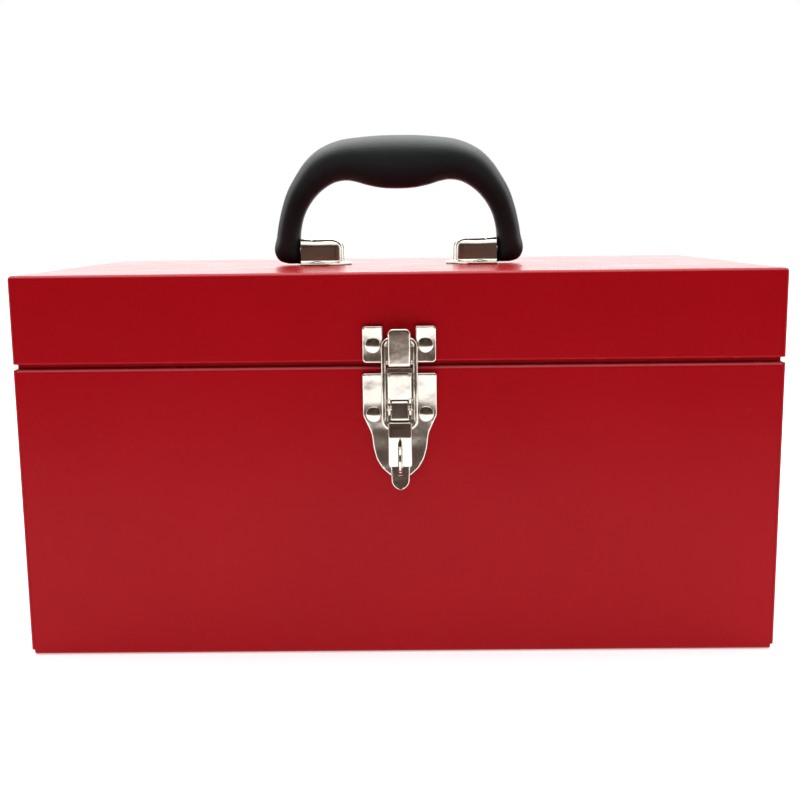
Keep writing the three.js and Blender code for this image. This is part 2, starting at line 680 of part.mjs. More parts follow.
// A pressed cup over the bar's end, open towards the leg, with a flange riveted to the lid.
function handleBracket(side) {
  const { inner, outer, height, half, flange: reach } = BRACKET;
  const foot = LID_TOP + GAP;
  const wall = 1;
  const hump = (inset, end) => {
    const along = roundedOutline([
      [side * (inner + inset), foot - (inset ? 2 : 0)],
      [side * (inner + inset), foot + height - inset, 5 - inset],
      [side * (outer + end), foot + height - inset],
      [side * (outer + end), foot - (inset ? 2 : 0)],
    ]);
    const across = roundedOutline([
      [-half + inset, foot - 3],
      [half - inset, foot - 3],
      [half - inset, foot + height - inset, 4.5 - inset],
      [-half + inset, foot + height - inset, 4.5 - inset],
    ]);
    const [x0, x1] = [side * (inner - 1), side * (outer + 2)].sort((a, b) => a - b);
    return extrude(along, 'y', -half - 1, half + 1).intersect(extrude(across, 'x', x0, x1));
  };
  const flange = extrude(roundedOutline([
    [side * (inner - 4), -6, 3],
    [side * (inner + 7), -reach, 5],
    [side * outer, -reach, 2],
    [side * outer, reach, 2],
    [side * (inner + 7), reach, 5],
    [side * (inner - 4), 6, 3],
  ]), 'z', foot, foot + wall);
  const notch = new THREE.Shape([
    new THREE.Vector2(side * 46.4, foot + height + 1),
    new THREE.Vector2(side * 47.6, foot + height - 2.6),
    new THREE.Vector2(side * 48.8, foot + height + 1),
  ]);
  return cut(
    join(hump(0, 0), flange),
    hump(wall, 1),
    extrude(notch, 'y', -half - 2, half + 2),
    ...[-1, 1].map((k) => rivetHole('z', side * BRACKET_RIVET.x, k * BRACKET_RIVET.y, foot)),
  );
}

for (const [name, side] of SIDES) {
  addPiece(`handle_bracket_${name}`, handleBracket(side), nickel);
  [['front', -1], ['back', 1]].forEach(([end, k]) => {
    const place = new THREE.Vector3(side * BRACKET_RIVET.x, k * BRACKET_RIVET.y, LID_TOP + GAP + 1);
    addRivet(`bracket_${name}_rivet_${end}`, place, Z, GAP + 1 + SHEET);
  });
}

// ---- lift-out tray ------------------------------------------------------------------------
const TRAY_RIVET_ZS = [109, 120];

function trayPan() {
  const hem = (half) => [
    [half, TRAY.top - MID, 0.2],
    [half - HEM, TRAY.top - MID, 0.2],
    [half - HEM, TRAY.top - 5],
  ];
  const mirrorHalf = (corners) => corners.map(([u, ...rest]) => [-u, ...rest]).reverse();
  const trough = bentSheet([
    ...mirrorHalf(hem(TRAY.y)),
    [-TRAY.y, TRAY.floor, 1.6],
    [TRAY.y, TRAY.floor, 1.6],
    ...hem(TRAY.y),
  ]);
  const endHem = (side) => extrude(
    bentSheet([[TRAY.x, TRAY.top - 8], ...hem(TRAY.x)].map(([x, ...rest]) => [side * x, ...rest])),
    'y', -TRAY.y + HEM + 1, TRAY.y - HEM - 1);
  const endWall = (side) => {
    const [x0, x1] = [side * (TRAY.x - MID), side * (TRAY.x + MID)].sort((a, b) => a - b);
    return box(x0, x1, -TRAY.y, TRAY.y, TRAY.floor, TRAY.top - 2);
  };
  const pan = join(
    extrude(trough, 'x', -TRAY.x, TRAY.x),
    endWall(-1), endWall(1), endHem(-1), endHem(1),
  );
  const holes = [-1, 1].flatMap((k) => TRAY_RIVET_ZS.map((z) => rivetHole('y', 0, k * TRAY.y, z)));
  return cut(pan, ...holes);
}

function trayHandle() {
  const wallFace = TRAY.y - MID - 0.15 - STRAP.thickness / 2;
  const legFace = TRAY.y - HEM - MID - 0.45 - STRAP.thickness / 2;
  const half = [
    [wallFace, 103],
    [wallFace, 126, 1],
    [legFace, 131, 1],
    [legFace, STRAP.top, 6],
  ];
  const strap = bentSheet([
    ...half.map(([y, ...rest]) => [-y, ...rest]),
    ...half.reverse(),
  ], STRAP.thickness);
  const holes = [-1, 1].flatMap((k) => TRAY_RIVET_ZS.map((z) => rivetHole('y', 0, k * wallFace, z)));
  return cut(extrude(strap, 'x', -STRAP.half, STRAP.half), ...holes);
}

addPiece('tray_pan', trayPan(), redPaint);
addPiece('tray_handle', trayHandle(), nickel);
[['front', FRONT, -1], ['back', BACK, 1]].forEach(([end, axis, k]) => {
  TRAY_RIVET_ZS.forEach((z, i) => {
    const place = new THREE.Vector3(0, k * (TRAY.y + MID), z);
    addRivet(`tray_rivet_${end}_${i + 1}`, place, axis, SHEET + 0.15 + STRAP.thickness);
  });
});

export default toolbox;
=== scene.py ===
"""Looks of a folded-steel toolbox: powder-coated sheet, a nickel-plated draw latch and a moulded handle."""

import json
import math

import bmesh
import bpy
from bpy.props import FloatProperty, FloatVectorProperty, PointerProperty
from mathutils import Matrix, Vector


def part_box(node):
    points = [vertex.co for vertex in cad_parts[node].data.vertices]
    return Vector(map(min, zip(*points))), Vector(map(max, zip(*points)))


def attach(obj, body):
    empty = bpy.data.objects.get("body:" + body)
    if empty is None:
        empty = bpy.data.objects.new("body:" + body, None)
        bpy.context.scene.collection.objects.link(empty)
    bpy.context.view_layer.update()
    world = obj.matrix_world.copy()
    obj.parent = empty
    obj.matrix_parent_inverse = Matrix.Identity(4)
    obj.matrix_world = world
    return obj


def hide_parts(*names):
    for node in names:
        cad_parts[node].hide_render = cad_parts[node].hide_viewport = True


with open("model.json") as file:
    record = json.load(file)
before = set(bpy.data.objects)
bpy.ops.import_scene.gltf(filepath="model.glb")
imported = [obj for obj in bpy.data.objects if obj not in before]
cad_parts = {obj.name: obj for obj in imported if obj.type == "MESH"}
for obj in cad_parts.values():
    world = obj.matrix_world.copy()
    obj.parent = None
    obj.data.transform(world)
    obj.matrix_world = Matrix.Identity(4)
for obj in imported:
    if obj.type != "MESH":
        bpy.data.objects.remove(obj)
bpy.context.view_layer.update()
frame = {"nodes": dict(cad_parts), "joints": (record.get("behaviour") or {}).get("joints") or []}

bl_info = {
    "name": "Steel toolbox",
    "version": (1, 0),
    "blender": (4, 5, 0),
    "location": "3D View > Sidebar > Toolbox",
    "description": "Builds the visible pieces and finishes of a folded-steel toolbox around its frame",
    "category": "Object",
}

# ---- the frame's sizes, in millimetres ----------------------------------------------------
MM = 0.001


def box_mm(node):
    """Lowest and highest corners of a frame node, in millimetres."""
    low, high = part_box(node)
    return Vector(low) / MM, Vector(high) / MM


def joint_named(name):
    return next(joint for joint in frame["joints"] if joint["name"] == name)


def joint_mm(name):
    """A joint's pivot point, in millimetres."""
    return Vector(joint_named(name)["pos_m"]) / MM


HALF_W, HALF_D, LIP_TOP = box_mm("body_shell")[1]
LID_EDGE, LID_TOP = (corner.z for corner in box_mm("lid_shell"))
LIP_HEIGHT = 6.3
BODY_EDGE = LIP_TOP - LIP_HEIGHT
LEVER_PIN = joint_mm("latch_lever_pivot")
BAIL_PIN = joint_mm("latch_bail_pivot")
HANDLE_PIN = joint_mm("handle_pivot")
HINGE_PIN = joint_mm("lid_hinge")
SIDES = (("left", -1), ("right", 1))


# ---- colours and sizes that a user would change -------------------------------------------
def linear(hex_colour):
    """Linear RGB of an sRGB hex colour."""
    channels = [int(hex_colour[i : i + 2], 16) / 255 for i in (1, 3, 5)]
    return tuple(c / 12.92 if c <= 0.04045 else ((c + 0.055) / 1.055) ** 2.4 for c in channels)


def colour_property(name, description, hex_colour):
    rgb = linear(hex_colour)
    return FloatVectorProperty(name=name, description=description, subtype="COLOR", min=0, max=1, default=rgb)


def length_property(name, description, millimetres):
    return FloatProperty(name=name, description=description, unit="LENGTH", min=0, default=millimetres * MM)


class ToolboxFinishes(bpy.types.PropertyGroup):
    """Colours of the toolbox's finishes."""

    paint: colour_property("Paint", "Powder coat on the folded sheet", "#AD0C17")
    nickel: colour_property("Nickel", "Plating on the latch, brackets and hinges", "#E4DDD2")
    zinc: colour_property("Zinc", "Plating on the hinge pins", "#B9BCC0")
    grip: colour_property("Grip", "Moulded plastic of the handle", "#262F31")


class ToolboxSheet(bpy.types.PropertyGroup):
    """Sizes of the folded sheet."""

    thickness: length_property("Thickness", "Thickness of the sheet steel", 0.9)
    rim_step: length_property("Rim step", "How far the rim steps in to pass inside the lid", 3.0)
    hem: length_property("Hem", "Spacing of a hem's two layers", 1.3)
    flange: length_property("Flange", "Width of the flanges that hold the end panels", 12.0)


class ToolboxLatch(bpy.types.PropertyGroup):
    """Sizes of the draw latch."""

    plate: length_property("Plate", "Thickness of the latch's pressed plates", 1.2)
    wire: length_property("Wire", "Diameter of the bail's wire", 2.5)
    roll: length_property("Edge roll", "Radius of the tumbled edges of the pressed plates", 0.7)
    rivet: length_property("Rivet head", "Diameter of the rivet heads", 7.4)


class ToolboxStudio(bpy.types.PropertyGroup):
    """Light and floor of the studio."""

    floor: colour_property("Floor", "Opal acrylic table", "#F4F5F8")
    room: colour_property("Room", "Dim warm room in front of the table", "#4C3F38")
    tent: FloatProperty(name="Tent", description="Brightness of the tent", min=0, default=1.5)
    backdrop: FloatProperty(name="Backdrop", description="Brightness behind the box", min=0, default=2.3)
    ceiling: FloatProperty(name="Softbox", description="Light from above", unit="POWER", default=9)
    lens: FloatProperty(name="Lens", description="Focal length", unit="CAMERA", default=49.0)


GROUPS = (
    ("toolbox_finishes", ToolboxFinishes),
    ("toolbox_sheet", ToolboxSheet),
    ("toolbox_latch", ToolboxLatch),
    ("toolbox_studio", ToolboxStudio),
)


def sheet_mm(*names):
    """Sizes of the folded sheet, in millimetres."""
    return [getattr(bpy.context.scene.toolbox_sheet, name) / MM for name in names]


def latch_mm(name):
    """A size of the draw latch, in millimetres."""
    return getattr(bpy.context.scene.toolbox_latch, name) / MM


# ---- materials ----------------------------------------------------------------------------
def add_node(tree, kind, inputs=(), **settings):
    """Adds a node, sets its settings, and sets or links its inputs."""
    made = tree.nodes.new(kind)
    for key, value in settings.items():
        setattr(made, key, value)
    for socket, value in dict(inputs).items():
        if isinstance(value, bpy.types.NodeSocket):
            tree.links.new(value, made.inputs[socket])
        else:
            made.inputs[socket].default_value = value
    return made


def masked(tree, *steps, amount=1.0):
    """That amount where every smooth step is full. A step is (value, where it starts, where it is full)."""
    mask = amount
    for value, start, full in steps:
        limits = {"Value": value, "From Min": start, "From Max": full}
        step = add_node(tree, "ShaderNodeMapRange", limits, interpolation_type="SMOOTHSTEP").outputs[0]
        mask = add_node(tree, "ShaderNodeMath", {0: mask, 1: step}, operation="MULTIPLY").outputs[0]
    return mask


def layered(tree, colour, *layers):
    """A colour with others laid over it. A layer is (how much, colour)."""
    for factor, over in layers:
        mix = add_node(tree, "ShaderNodeMix", {0: factor, 6: colour, 7: over}, data_type="RGBA")
        colour = mix.outputs[2]
    return colour


def shaded(colour, amount):
    return (*(min(1, max(0, c * amount)) for c in colour), 1)


def upward_part(tree):
    """How far the surface faces up on the object, from -1 to 1."""
    facing = add_node(tree, "ShaderNodeTexCoord").outputs["Normal"]
    return add_node(tree, "ShaderNodeSeparateXYZ", {0: facing}).outputs["Z"]


MATERIALS = {}


def finish(key, name, colour, tone, rough=None, relief=(), **shader_values):
    """A material whose tone, roughness and relief follow patterns with real sizes.

    A pattern is (size in mm, detail), and detail None means cells. tone is (pattern, darkest, lightest),
    rough is (pattern, lowest, highest) and relief lists (pattern, strength, depth in mm), finest first.
    Returns the tree, the shader and the toned colour.
    """
    material = MATERIALS[key] = bpy.data.materials.new(name)
    material.use_nodes = True
    tree = material.node_tree
    shader = tree.nodes["Principled BSDF"]
    for socket, value in shader_values.items():
        shader.inputs[socket.replace("_", " ")].default_value = value
    place = add_node(tree, "ShaderNodeTexCoord").outputs["Object"]

    def drawn(size, detail):
        inputs = {"Vector": place, "Scale": 1 / (size * MM)}
        if detail is None:
            return add_node(tree, "ShaderNodeTexVoronoi", inputs).outputs["Distance"]
        return add_node(tree, "ShaderNodeTexNoise", {**inputs, "Detail": detail}).outputs["Fac"]

    pattern, dark, light = tone
    toned = layered(tree, shaded(colour, dark), (drawn(*pattern), shaded(colour, light)))
    tree.links.new(toned, shader.inputs["Base Color"])
    if rough:
        pattern, low, high = rough
        limits = {"Value": drawn(*pattern), "To Min": low, "To Max": high}
        tree.links.new(add_node(tree, "ShaderNodeMapRange", limits).outputs[0], shader.inputs["Roughness"])
    below = {}
    for pattern, strength, depth in relief:
        inputs = {"Height": drawn(*pattern), "Strength": strength, "Distance": depth * MM, **below}
        below = {"Normal": add_node(tree, "ShaderNodeBump", inputs).outputs[0]}
        tree.links.new(below["Normal"], shader.inputs["Normal"])
    return tree, shader, toned


def make_materials():
    colours = bpy.context.scene.toolbox_finishes
    # Polyester powder baked on steel: an even gloss, duller where the film is thin. Its orange peel has
    # cells of 1.6 mm, a few microns deep, and the sheet itself waves slowly, which breaks up reflections.
    tree, shader, film = finish(
        "paint", "powder-coated steel", colours.paint, ((60, 2), 0.94, 1.05), ((25, 3), 0.22, 0.32),
        [((1.6, 1), 0.12, 0.06), ((45, 0), 0.5, 0.4)], IOR=1.5, Specular_IOR_Level=0.1,
    )
    # On the bends that face up, the base colour is mixed towards a pale pink: a painted highlight that stands
    # in for the light those bends catch from above.
    upward = upward_part(tree)
    painted_bend_highlight = masked(tree, (upward, 0.3, 0.6), (upward, 0.96, 0.85), amount=0.3)
    tree.links.new(layered(tree, film, (painted_bend_highlight, (1, 0.28, 0.32, 1))), shader.inputs["Base Color"])
    # Bright nickel on tumbled pressings: mirror-like, with a warm cast and fine stains. Tumbling leaves
    # dents of 2 mm that wobble the reflections, and the press leaves waves of about a centimetre.
    finish(
        "nickel", "nickel-plated steel", colours.nickel, ((2.4, 4), 0.86, 1.04), ((1.1, 2), 0.1, 0.2),
        [((2.2, 0), 0.2, 0.1), ((9, 0), 0.5, 0.7)], Metallic=1.0,
    )
    # Dull electroplated zinc on drawn wire: grey, with soft cloudy patches.
    finish(
        "zinc", "zinc-plated steel", colours.zinc, ((1.5, 3), 0.8, 1), ((1.5, 3), 0.3, 0.45), Metallic=1.0
    )
    # Injection-moulded polypropylene with a leather grain etched into the mould: satin, and a little
    # uneven. The real grain is 0.3 mm across; 0.6 mm is the finest that shows.
    tree, shader, _ = finish(
        "grip", "moulded polypropylene", colours.grip, ((30, 2), 0.85, 1.2), ((30, 2), 0.36, 0.44),
        [((0.6, None), 0.6, 0.12), ((0.5, 2), 0.25, 0.06)], IOR=1.49,
    )
    # The specular level rises where the grip faces up: a painted sheen on its upper side, with the lid's red
    # reflection painted out of its underside.
    limits = {"Value": upward_part(tree), "From Min": -0.25, "From Max": 0.5, "To Min": 0.05, "To Max": 0.95}
    painted_top_sheen = add_node(tree, "ShaderNodeMapRange", limits, interpolation_type="SMOOTHSTEP")
    tree.links.new(painted_top_sheen.outputs[0], shader.inputs["Specular IOR Level"])
    # Opal acrylic table top, sanded matt and lit a little from below: white, with hardly a shadow.
    finish(
        "table", "opal acrylic", bpy.context.scene.toolbox_studio.floor, ((400, 1), 0.985, 1),
        Roughness=0.6, Emission_Color=(1, 1, 1, 1), Emission_Strength=0.42,
    )


# ---- outlines -----------------------------------------------------------------------------
ARC_STEP = math.radians(11.25)


def bent_line(corners):
    """Open line with rounded bends, as points. Corners are (u, v) or (u, v, bend radius)."""
    points = []
    for i, corner in enumerate(corners):
        here = Vector(corner[:2])
        if len(corner) < 3 or i in (0, len(corners) - 1):
            points.append(here)
            continue
        back = (Vector(corners[i - 1][:2]) - here).normalized()
        ahead = (Vector(corners[i + 1][:2]) - here).normalized()
        points.extend(point for point, _ in fillet(here, back, ahead, corner[2]))
    merged = [points[0]]
    for point in points[1:]:
        if (point - merged[-1]).length > 1e-4:
            merged.append(point)
    return merged


def mirrored_line(half):
    """Bent line whose right-hand half runs from the middle outwards."""
    return bent_line([*[(-c[0], *c[1:]) for c in reversed(half)], *half])


def fillet(here, back, ahead, radius):
    """Points of the arc that rounds a corner, with the directions from the arc's centre."""
    half = math.acos(max(-1, min(1, back.dot(ahead)))) / 2
    centre = here + (back + ahead).normalized() * (radius / math.sin(half))
    start = here + back * (radius / math.tan(half)) - centre
    turn = math.pi - 2 * half
    side = 1 if back.x * ahead.y - back.y * ahead.x < 0 else -1
    steps = max(2, math.ceil(turn / ARC_STEP))
    arms = []
    for k in range(steps + 1):
        c, s = math.cos(side * turn * k / steps), math.sin(side * turn * k / steps)
        arms.append(Vector((start.x * c - start.y * s, start.x * s + start.y * c)))
    return [(centre + arm, arm.normalized() * side) for arm in arms]


def rounded_contour(corners):
    """Closed counter-clockwise contour of (point, outward normal). Corners are (u, v, radius)."""
    contour = []
    for i, (u, v, radius) in enumerate(corners):
        here = Vector((u, v))
        back = (Vector(corners[i - 1][:2]) - here).normalized()
        ahead = (Vector(corners[(i + 1) % len(corners)][:2]) - here).normalized()
        contour.extend(fillet(here, back, ahead, radius))
    return contour


def rectangle(left, right, low, high, radii):
    """Rounded rectangle. Its radii start at the lower left corner and go counter-clockwise."""
    corners = ((left, low), (right, low), (right, high), (left, high))
    return rounded_contour([(*corner, radius) for corner, radius in zip(corners, radii)])


def circle_contour(u, v, radius, steps=32):
    turns = [2 * math.pi * k / steps for k in range(steps)]
    ways = [Vector((math.cos(turn), math.sin(turn))) for turn in turns]
    return [(Vector((u, v)) + way * radius, way) for way in ways]


def both_sides(half):
    """A right-hand half outline, drawn upwards from the bottom, closed with its mirror image."""
    return [*half, *[(-u, v, r) for u, v, r in reversed(half)]]


# ---- meshes -------------------------------------------------------------------------------
SHARP, CUT_ANGLE = math.radians(40), math.radians(50)
ROLL_STEPS = 4


def along_x(u, v, w):
    return (w, u, v)


def along_y(u, v, w):
    return (u, w, v)


def along_z(u, v, w):
    return (u, v, w)


def placed(name, data):
    made = bpy.data.objects.new(name, data)
    bpy.context.scene.collection.objects.link(made)
    return made


def shade(made, sharp=SHARP):
    made.data.shade_smooth()
    made.data.set_sharp_from_angle(angle=sharp)


def mesh_of(name, points, faces, place=along_z):
    """A mesh object from (u, v, w) points in millimetres."""
    mesh = bpy.data.meshes.new(name)
    mesh.from_pydata([Vector(place(*p)) * MM for p in points], [], faces)
    made = placed(name, mesh)
    clean(made)
    return made


def clean(made):
    """Merges doubles, turns faces outward and sets which edges shade sharp."""
    work = bmesh.new()
    work.from_mesh(made.data)
    bmesh.ops.remove_doubles(work, verts=work.verts, dist=1e-6)
    bmesh.ops.dissolve_degenerate(work, edges=work.edges, dist=1e-7)
    bmesh.ops.recalc_face_normals(work, faces=work.faces)
    work.to_mesh(made.data)
    work.free()
    shade(made)


def grid_faces(rows, columns, wrap=False):
    """Quads between rows of points that follow each other."""
    faces = []
    for r in range(rows - 1):
        for c in range(columns if wrap else columns - 1):
            a = r * columns + c
            b = r * columns + (c + 1) % columns
            faces.append((a, b, b + columns, a + columns))
    return faces


def swept_rings(contour, profile):
    """Points of a contour repeated at each (offset outward, height) of a profile."""
    return [(*(point + normal * offset), height) for offset, height in profile for point, normal in contour]


def slab(name, contour, low, high, roll_low, roll_high, place):
    """A flat plate of that contour whose edges are rolled over."""
    quarter = [math.pi / 2 * k / ROLL_STEPS for k in range(ROLL_STEPS + 1)]
    profile = [(-roll_low * (1 - math.sin(a)), low + roll_low * (1 - math.cos(a))) for a in quarter]
    profile += [(-roll_high * (1 - math.cos(a)), high - roll_high * (1 - math.sin(a))) for a in quarter]
    points = swept_rings(contour, profile)
    count = len(contour)
    faces = grid_faces(len(profile), count, wrap=True)
    faces.append(tuple(reversed(range(count))))
    faces.append(tuple(range(len(points) - count, len(points))))
    return mesh_of(name, points, faces, place)


def turned(name, profile, centre, axis, steps=36):
    """A turned solid: profile of (radius, height along the axis) from tip to tail, both on the axis."""
    points = []
    for radius, height in profile:
        for k in range(steps):
            angle = 2 * math.pi * k / steps
            points.append((radius * math.cos(angle), radius * math.sin(angle), height))
    made = mesh_of(name, points, grid_faces(len(profile), steps, wrap=True))
    turn = Vector((0, 0, 1)).rotation_difference(Vector(axis)).to_matrix().to_4x4()
    made.data.transform(Matrix.Translation(Vector(centre) * MM) @ turn)
    return made


def dished(made, spacing, rise):
    """Cuts a plate's faces into a grid and moves each point out from the box by rise(u, v)."""
    work = bmesh.new()
    work.from_mesh(made.data)
    for axis in (0, 2):
        places = [vertex.co[axis] for vertex in work.verts]
        low, high = min(places), max(places)
        count = math.ceil((high - low) / MM / spacing)
        normal = Vector([1.0 if i == axis else 0.0 for i in range(3)])
        for k in range(1, count):
            everything = [*work.verts, *work.edges, *work.faces]
            level = normal * (low + (high - low) * k / count)
            bmesh.ops.bisect_plane(work, geom=everything, plane_co=level, plane_no=normal, dist=1e-7)
    for vertex in work.verts:
        u, v = vertex.co.x / MM - LEVER_PIN.x, vertex.co.z / MM
        vertex.co.y -= rise(u, v) * MM
    work.to_mesh(made.data)
    work.free()


def select_only(made):
    bpy.ops.object.select_all(action="DESELECT")
    made.select_set(True)
    bpy.context.view_layer.objects.active = made


def apply_modifiers(made):
    select_only(made)
    for modifier in list(made.modifiers):
        bpy.ops.object.modifier_apply(modifier=modifier.name)


def thicken(made, thickness, offset=0.0):
    """Gives an open surface the thickness of its sheet: to both sides, or to one with an offset."""
    modifier = made.modifiers.new("sheet thickness", "SOLIDIFY")
    modifier.thickness = thickness * MM
    modifier.offset = offset
    modifier.use_even_offset = True
    apply_modifiers(made)
    made.data.set_sharp_from_angle(angle=SHARP)


def soften_edges(made, width, segments=2):
    """Rounds the cut edges of the sheet."""
    modifier = made.modifiers.new("cut edges", "BEVEL")
    modifier.width = width * MM
    modifier.segments = segments
    modifier.limit_method = "ANGLE"
    modifier.angle_limit = CUT_ANGLE
    modifier.use_clamp_overlap = True
    apply_modifiers(made)
    shade(made, CUT_ANGLE)


def cut(made, *cutters):
    """Cuts holes through a solid, and removes the solids that cut them."""
    for cutter in cutters:
        modifier = made.modifiers.new("hole", "BOOLEAN")
        modifier.operation = "DIFFERENCE"
        modifier.solver = "EXACT"
        modifier.object = cutter
        apply_modifiers(made)
        bpy.data.objects.remove(cutter)
    clean(made)


def hole(contour, low, high, place):
    """The solid that cuts a hole of that contour."""
    return slab("hole", contour, low, high, 0.05, 0.05, place)


def folded(name, points, faces, thickness, edge, segments=2):
    """A sheet of that thickness round its middle surface, with softened cut edges."""
    made = mesh_of(name, points, faces)
    thicken(made, thickness)
    soften_edges(made, edge, segments)
    return made


def joined(name, parts):
    """Joins separate solids into one object."""
    select_only(parts[0])
    for part in parts:
        part.select_set(True)
    bpy.ops.object.join()
    parts[0].name = parts[0].data.name = name
    return parts[0]


def piece(made, body, coat, node=None):
    """Gives a finished piece its material and body, and hides the frame node it stands for."""
    made.data.materials.clear()
    made.data.materials.append(MATERIALS[coat])
    made.modifiers.new("even shading", "WEIGHTED_NORMAL").keep_sharp = True
    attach(made, body)
    if node:
        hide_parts(node)


def dress(node, coat):
    """Gives a frame node that is shown as it is its finish and smooth shading."""
    made = frame["nodes"][node]
    made.data.materials.clear()
    made.data.materials.append(MATERIALS[coat])
    shade(made)


def rivet(node, body, axis, seat, tail_at):
    """Domed rivet head on a plate, its shank, and the tail peened over inside.

    It stands where the frame's rivet does, with the underside of its head at seat along its axis.
    """
    low, high = box_mm(node)
    along = next(i for i in range(3) if axis[i])
    centre = (low + high) / 2
    centre[along] = seat
    head = latch_mm("rivet") / 2
    brim = 0.45
    spread = math.radians(21)
    dome = (head - 0.15) / math.sin(spread)
    steps = 8
    profile = [(0, brim + dome * (1 - math.cos(spread)))]
    for k in range(1, steps + 1):
        angle = spread * k / steps
        profile.append((dome * math.sin(angle), brim + dome * (math.cos(angle) - math.cos(spread))))
    profile += [(head, brim - 0.15), (head, 0.12), (head - 0.12, 0.02), (1.5, 0.02)]
    tail = [(1.5, 0), (2.2, 0), (2.5, -0.3), (2.3, -0.7), (1.5, -0.9), (0, -0.9)]
    profile += [(radius, height - tail_at) for radius, height in tail]
    piece(turned(f"{node}_head", profile, centre, axis), body, "nickel", node)


# ---- folded sheet: body and lid -----------------------------------------------------------
WRAP_EDGE, PANEL_EDGE = 0.16, 0.14
HEM_DEPTH = 5


def sided(side, corners):
    """Corners of a right-hand piece, turned over for the left."""
    return [(side * corner[0], *corner[1:]) for corner in corners]


def strip_rows(line, stations, axis):
    """Quads of a bent line drawn out between stations along an axis."""
    points = [axis(*point, station) for station in stations for point in line]
    return points, grid_faces(len(stations), len(line))


def merged_strips(strips):
    points, faces = [], []
    for strip_points, strip_faces in strips:
        start = len(points)
        points.extend(strip_points)
        faces.extend(tuple(start + i for i in face) for face in strip_faces)
    return points, faces


def corner_line(side_x, side_y, start_x, outer_x, outer_y, bend, flange):
    """Line that wraps a sheet round a vertical corner, in plan."""
    start, corner = (side_x * start_x, side_y * outer_y), (side_x * outer_x, side_y * outer_y, bend)
    return bent_line([start, corner, (side_x * outer_x, side_y * (outer_y - flange))])


def body_shell():
    """Front, bottom and back in one sheet, with the rim shelf, the lip and the corner flanges."""
    sheet, step, flange = sheet_mm("thickness", "rim_step", "flange")
    mid = sheet / 2
    wall = HALF_D - mid
    lip = wall - step
    rim = BODY_EDGE - mid
    bottom_bend, rim_bend, lip_bend, side_bend = 1.6, 1.6, 0.9, 1.2
    half = [(wall, mid, bottom_bend), (wall, rim, rim_bend), (lip, rim, lip_bend)]
    # The inner lip stops at the end panels' lips; the rim and the bottom run on almost to the corners.
    lip_end, end = HALF_W - 4, HALF_W - mid - side_bend
    whole = mirrored_line([*half, (lip, LIP_TOP)])
    strips = [strip_rows(whole, [-lip_end, -lip_end / 2, 0, lip_end / 2, lip_end], along_x)]
    short = mirrored_line([*half, (lip, LID_EDGE - 0.3)])
    for _, x in SIDES:
        strips.append(strip_rows(short, [x * lip_end, x * end], along_x))
    stations = [mid + bottom_bend + 0.4, BODY_EDGE - 0.2]
    for _, x in SIDES:
        for _, y in SIDES:
            corner = corner_line(x, y, end, HALF_W - mid, wall, side_bend, flange)
            strips.append(strip_rows(corner, stations, along_z))
    return folded("body_wrap", *merged_strips(strips), sheet, WRAP_EDGE)


def lid_shell():
    """Top, front and back skirts in one sheet, hemmed at the bottom, with flanges down the sides."""
    sheet, hem, flange = sheet_mm("thickness", "hem", "flange")
    mid = sheet / 2
    wall, side, top, low = HALF_D - mid, HALF_W - mid, LID_TOP - mid, LID_EDGE + mid
    fold, bend = hem / 2, 1.4
    inner = wall - hem
    line = mirrored_line([(wall, top, bend), (wall, low, fold), (inner, low, fold), (inner, low + HEM_DEPTH)])
    end = side - bend
    strips = [strip_rows(line, [-end, -end / 2, 0, end / 2, end], along_x)]
    # Below the side flange the corner's own flange is full width; beside it, only the bend.
    seam = LID_TOP - flange - 0.1
    for _, x in SIDES:
        flap = bent_line([(x * end, top), (x * side, top, bend), (x * side, LID_TOP - flange)])
        strips.append(strip_rows(flap, [-wall + bend, wall - bend], along_y))
        for _, y in SIDES:
            for width, start, stop in ((flange, LID_EDGE + 0.2, seam), (bend + 0.3, seam, top - bend)):
                corner = corner_line(x, y, end, side, wall, bend, width)
                strips.append(strip_rows(corner, [start, stop], along_z))
            strips.append(corner_ball(x, y, end, wall - bend, top - bend, bend))
    return folded("lid_wrap", *merged_strips(strips), sheet, WRAP_EDGE)


def corner_ball(side_x, side_y, x, y, z, radius):
    """Eighth of a sphere that closes a corner between three bends."""
    steps = round(math.pi / 2 / ARC_STEP)
    angles = [math.pi / 2 * k / steps for k in range(steps + 1)]
    points = []
    for lift in angles:
        level = radius * math.cos(lift)
        for turn in angles:
            across, out = x + level * math.sin(turn), y + level * math.cos(turn)
            points.append((side_x * across, side_y * out, z + radius * math.sin(lift)))
    return points, grid_faces(steps + 1, steps + 1)


def body_end(name, side):
    """End panel: foot flange, wall, rim shelf and lip."""
    sheet = sheet_mm("thickness")[0]
    mid = sheet / 2
    low, high = box_mm(f"body_end_{name}")
    outer = max(abs(low.x), abs(high.x)) - mid
    foot, rim, lip = low.z + mid, BODY_EDGE - mid, outer - 2.8
    flange, wing_width, bend, lip_bend = 13, 4.6, 1.2, 0.8
    corners = [(outer - flange, foot), (outer, foot, bend), (outer, rim, bend)]
    corners += [(lip, rim, lip_bend), (lip, LIP_TOP)]
    inner_y = HALF_D - wing_width
    strips = [strip_rows(bent_line(sided(side, corners)), [-inner_y, inner_y], along_y)]
    for _, y in SIDES:
        wing = [(side * outer, y * inner_y), (side * outer, y * high.y)]
        strips.append(strip_rows(wing, [foot + bend, rim - bend], along_z))
    return folded(f"body_end_{name}_panel", *merged_strips(strips), sheet, PANEL_EDGE)


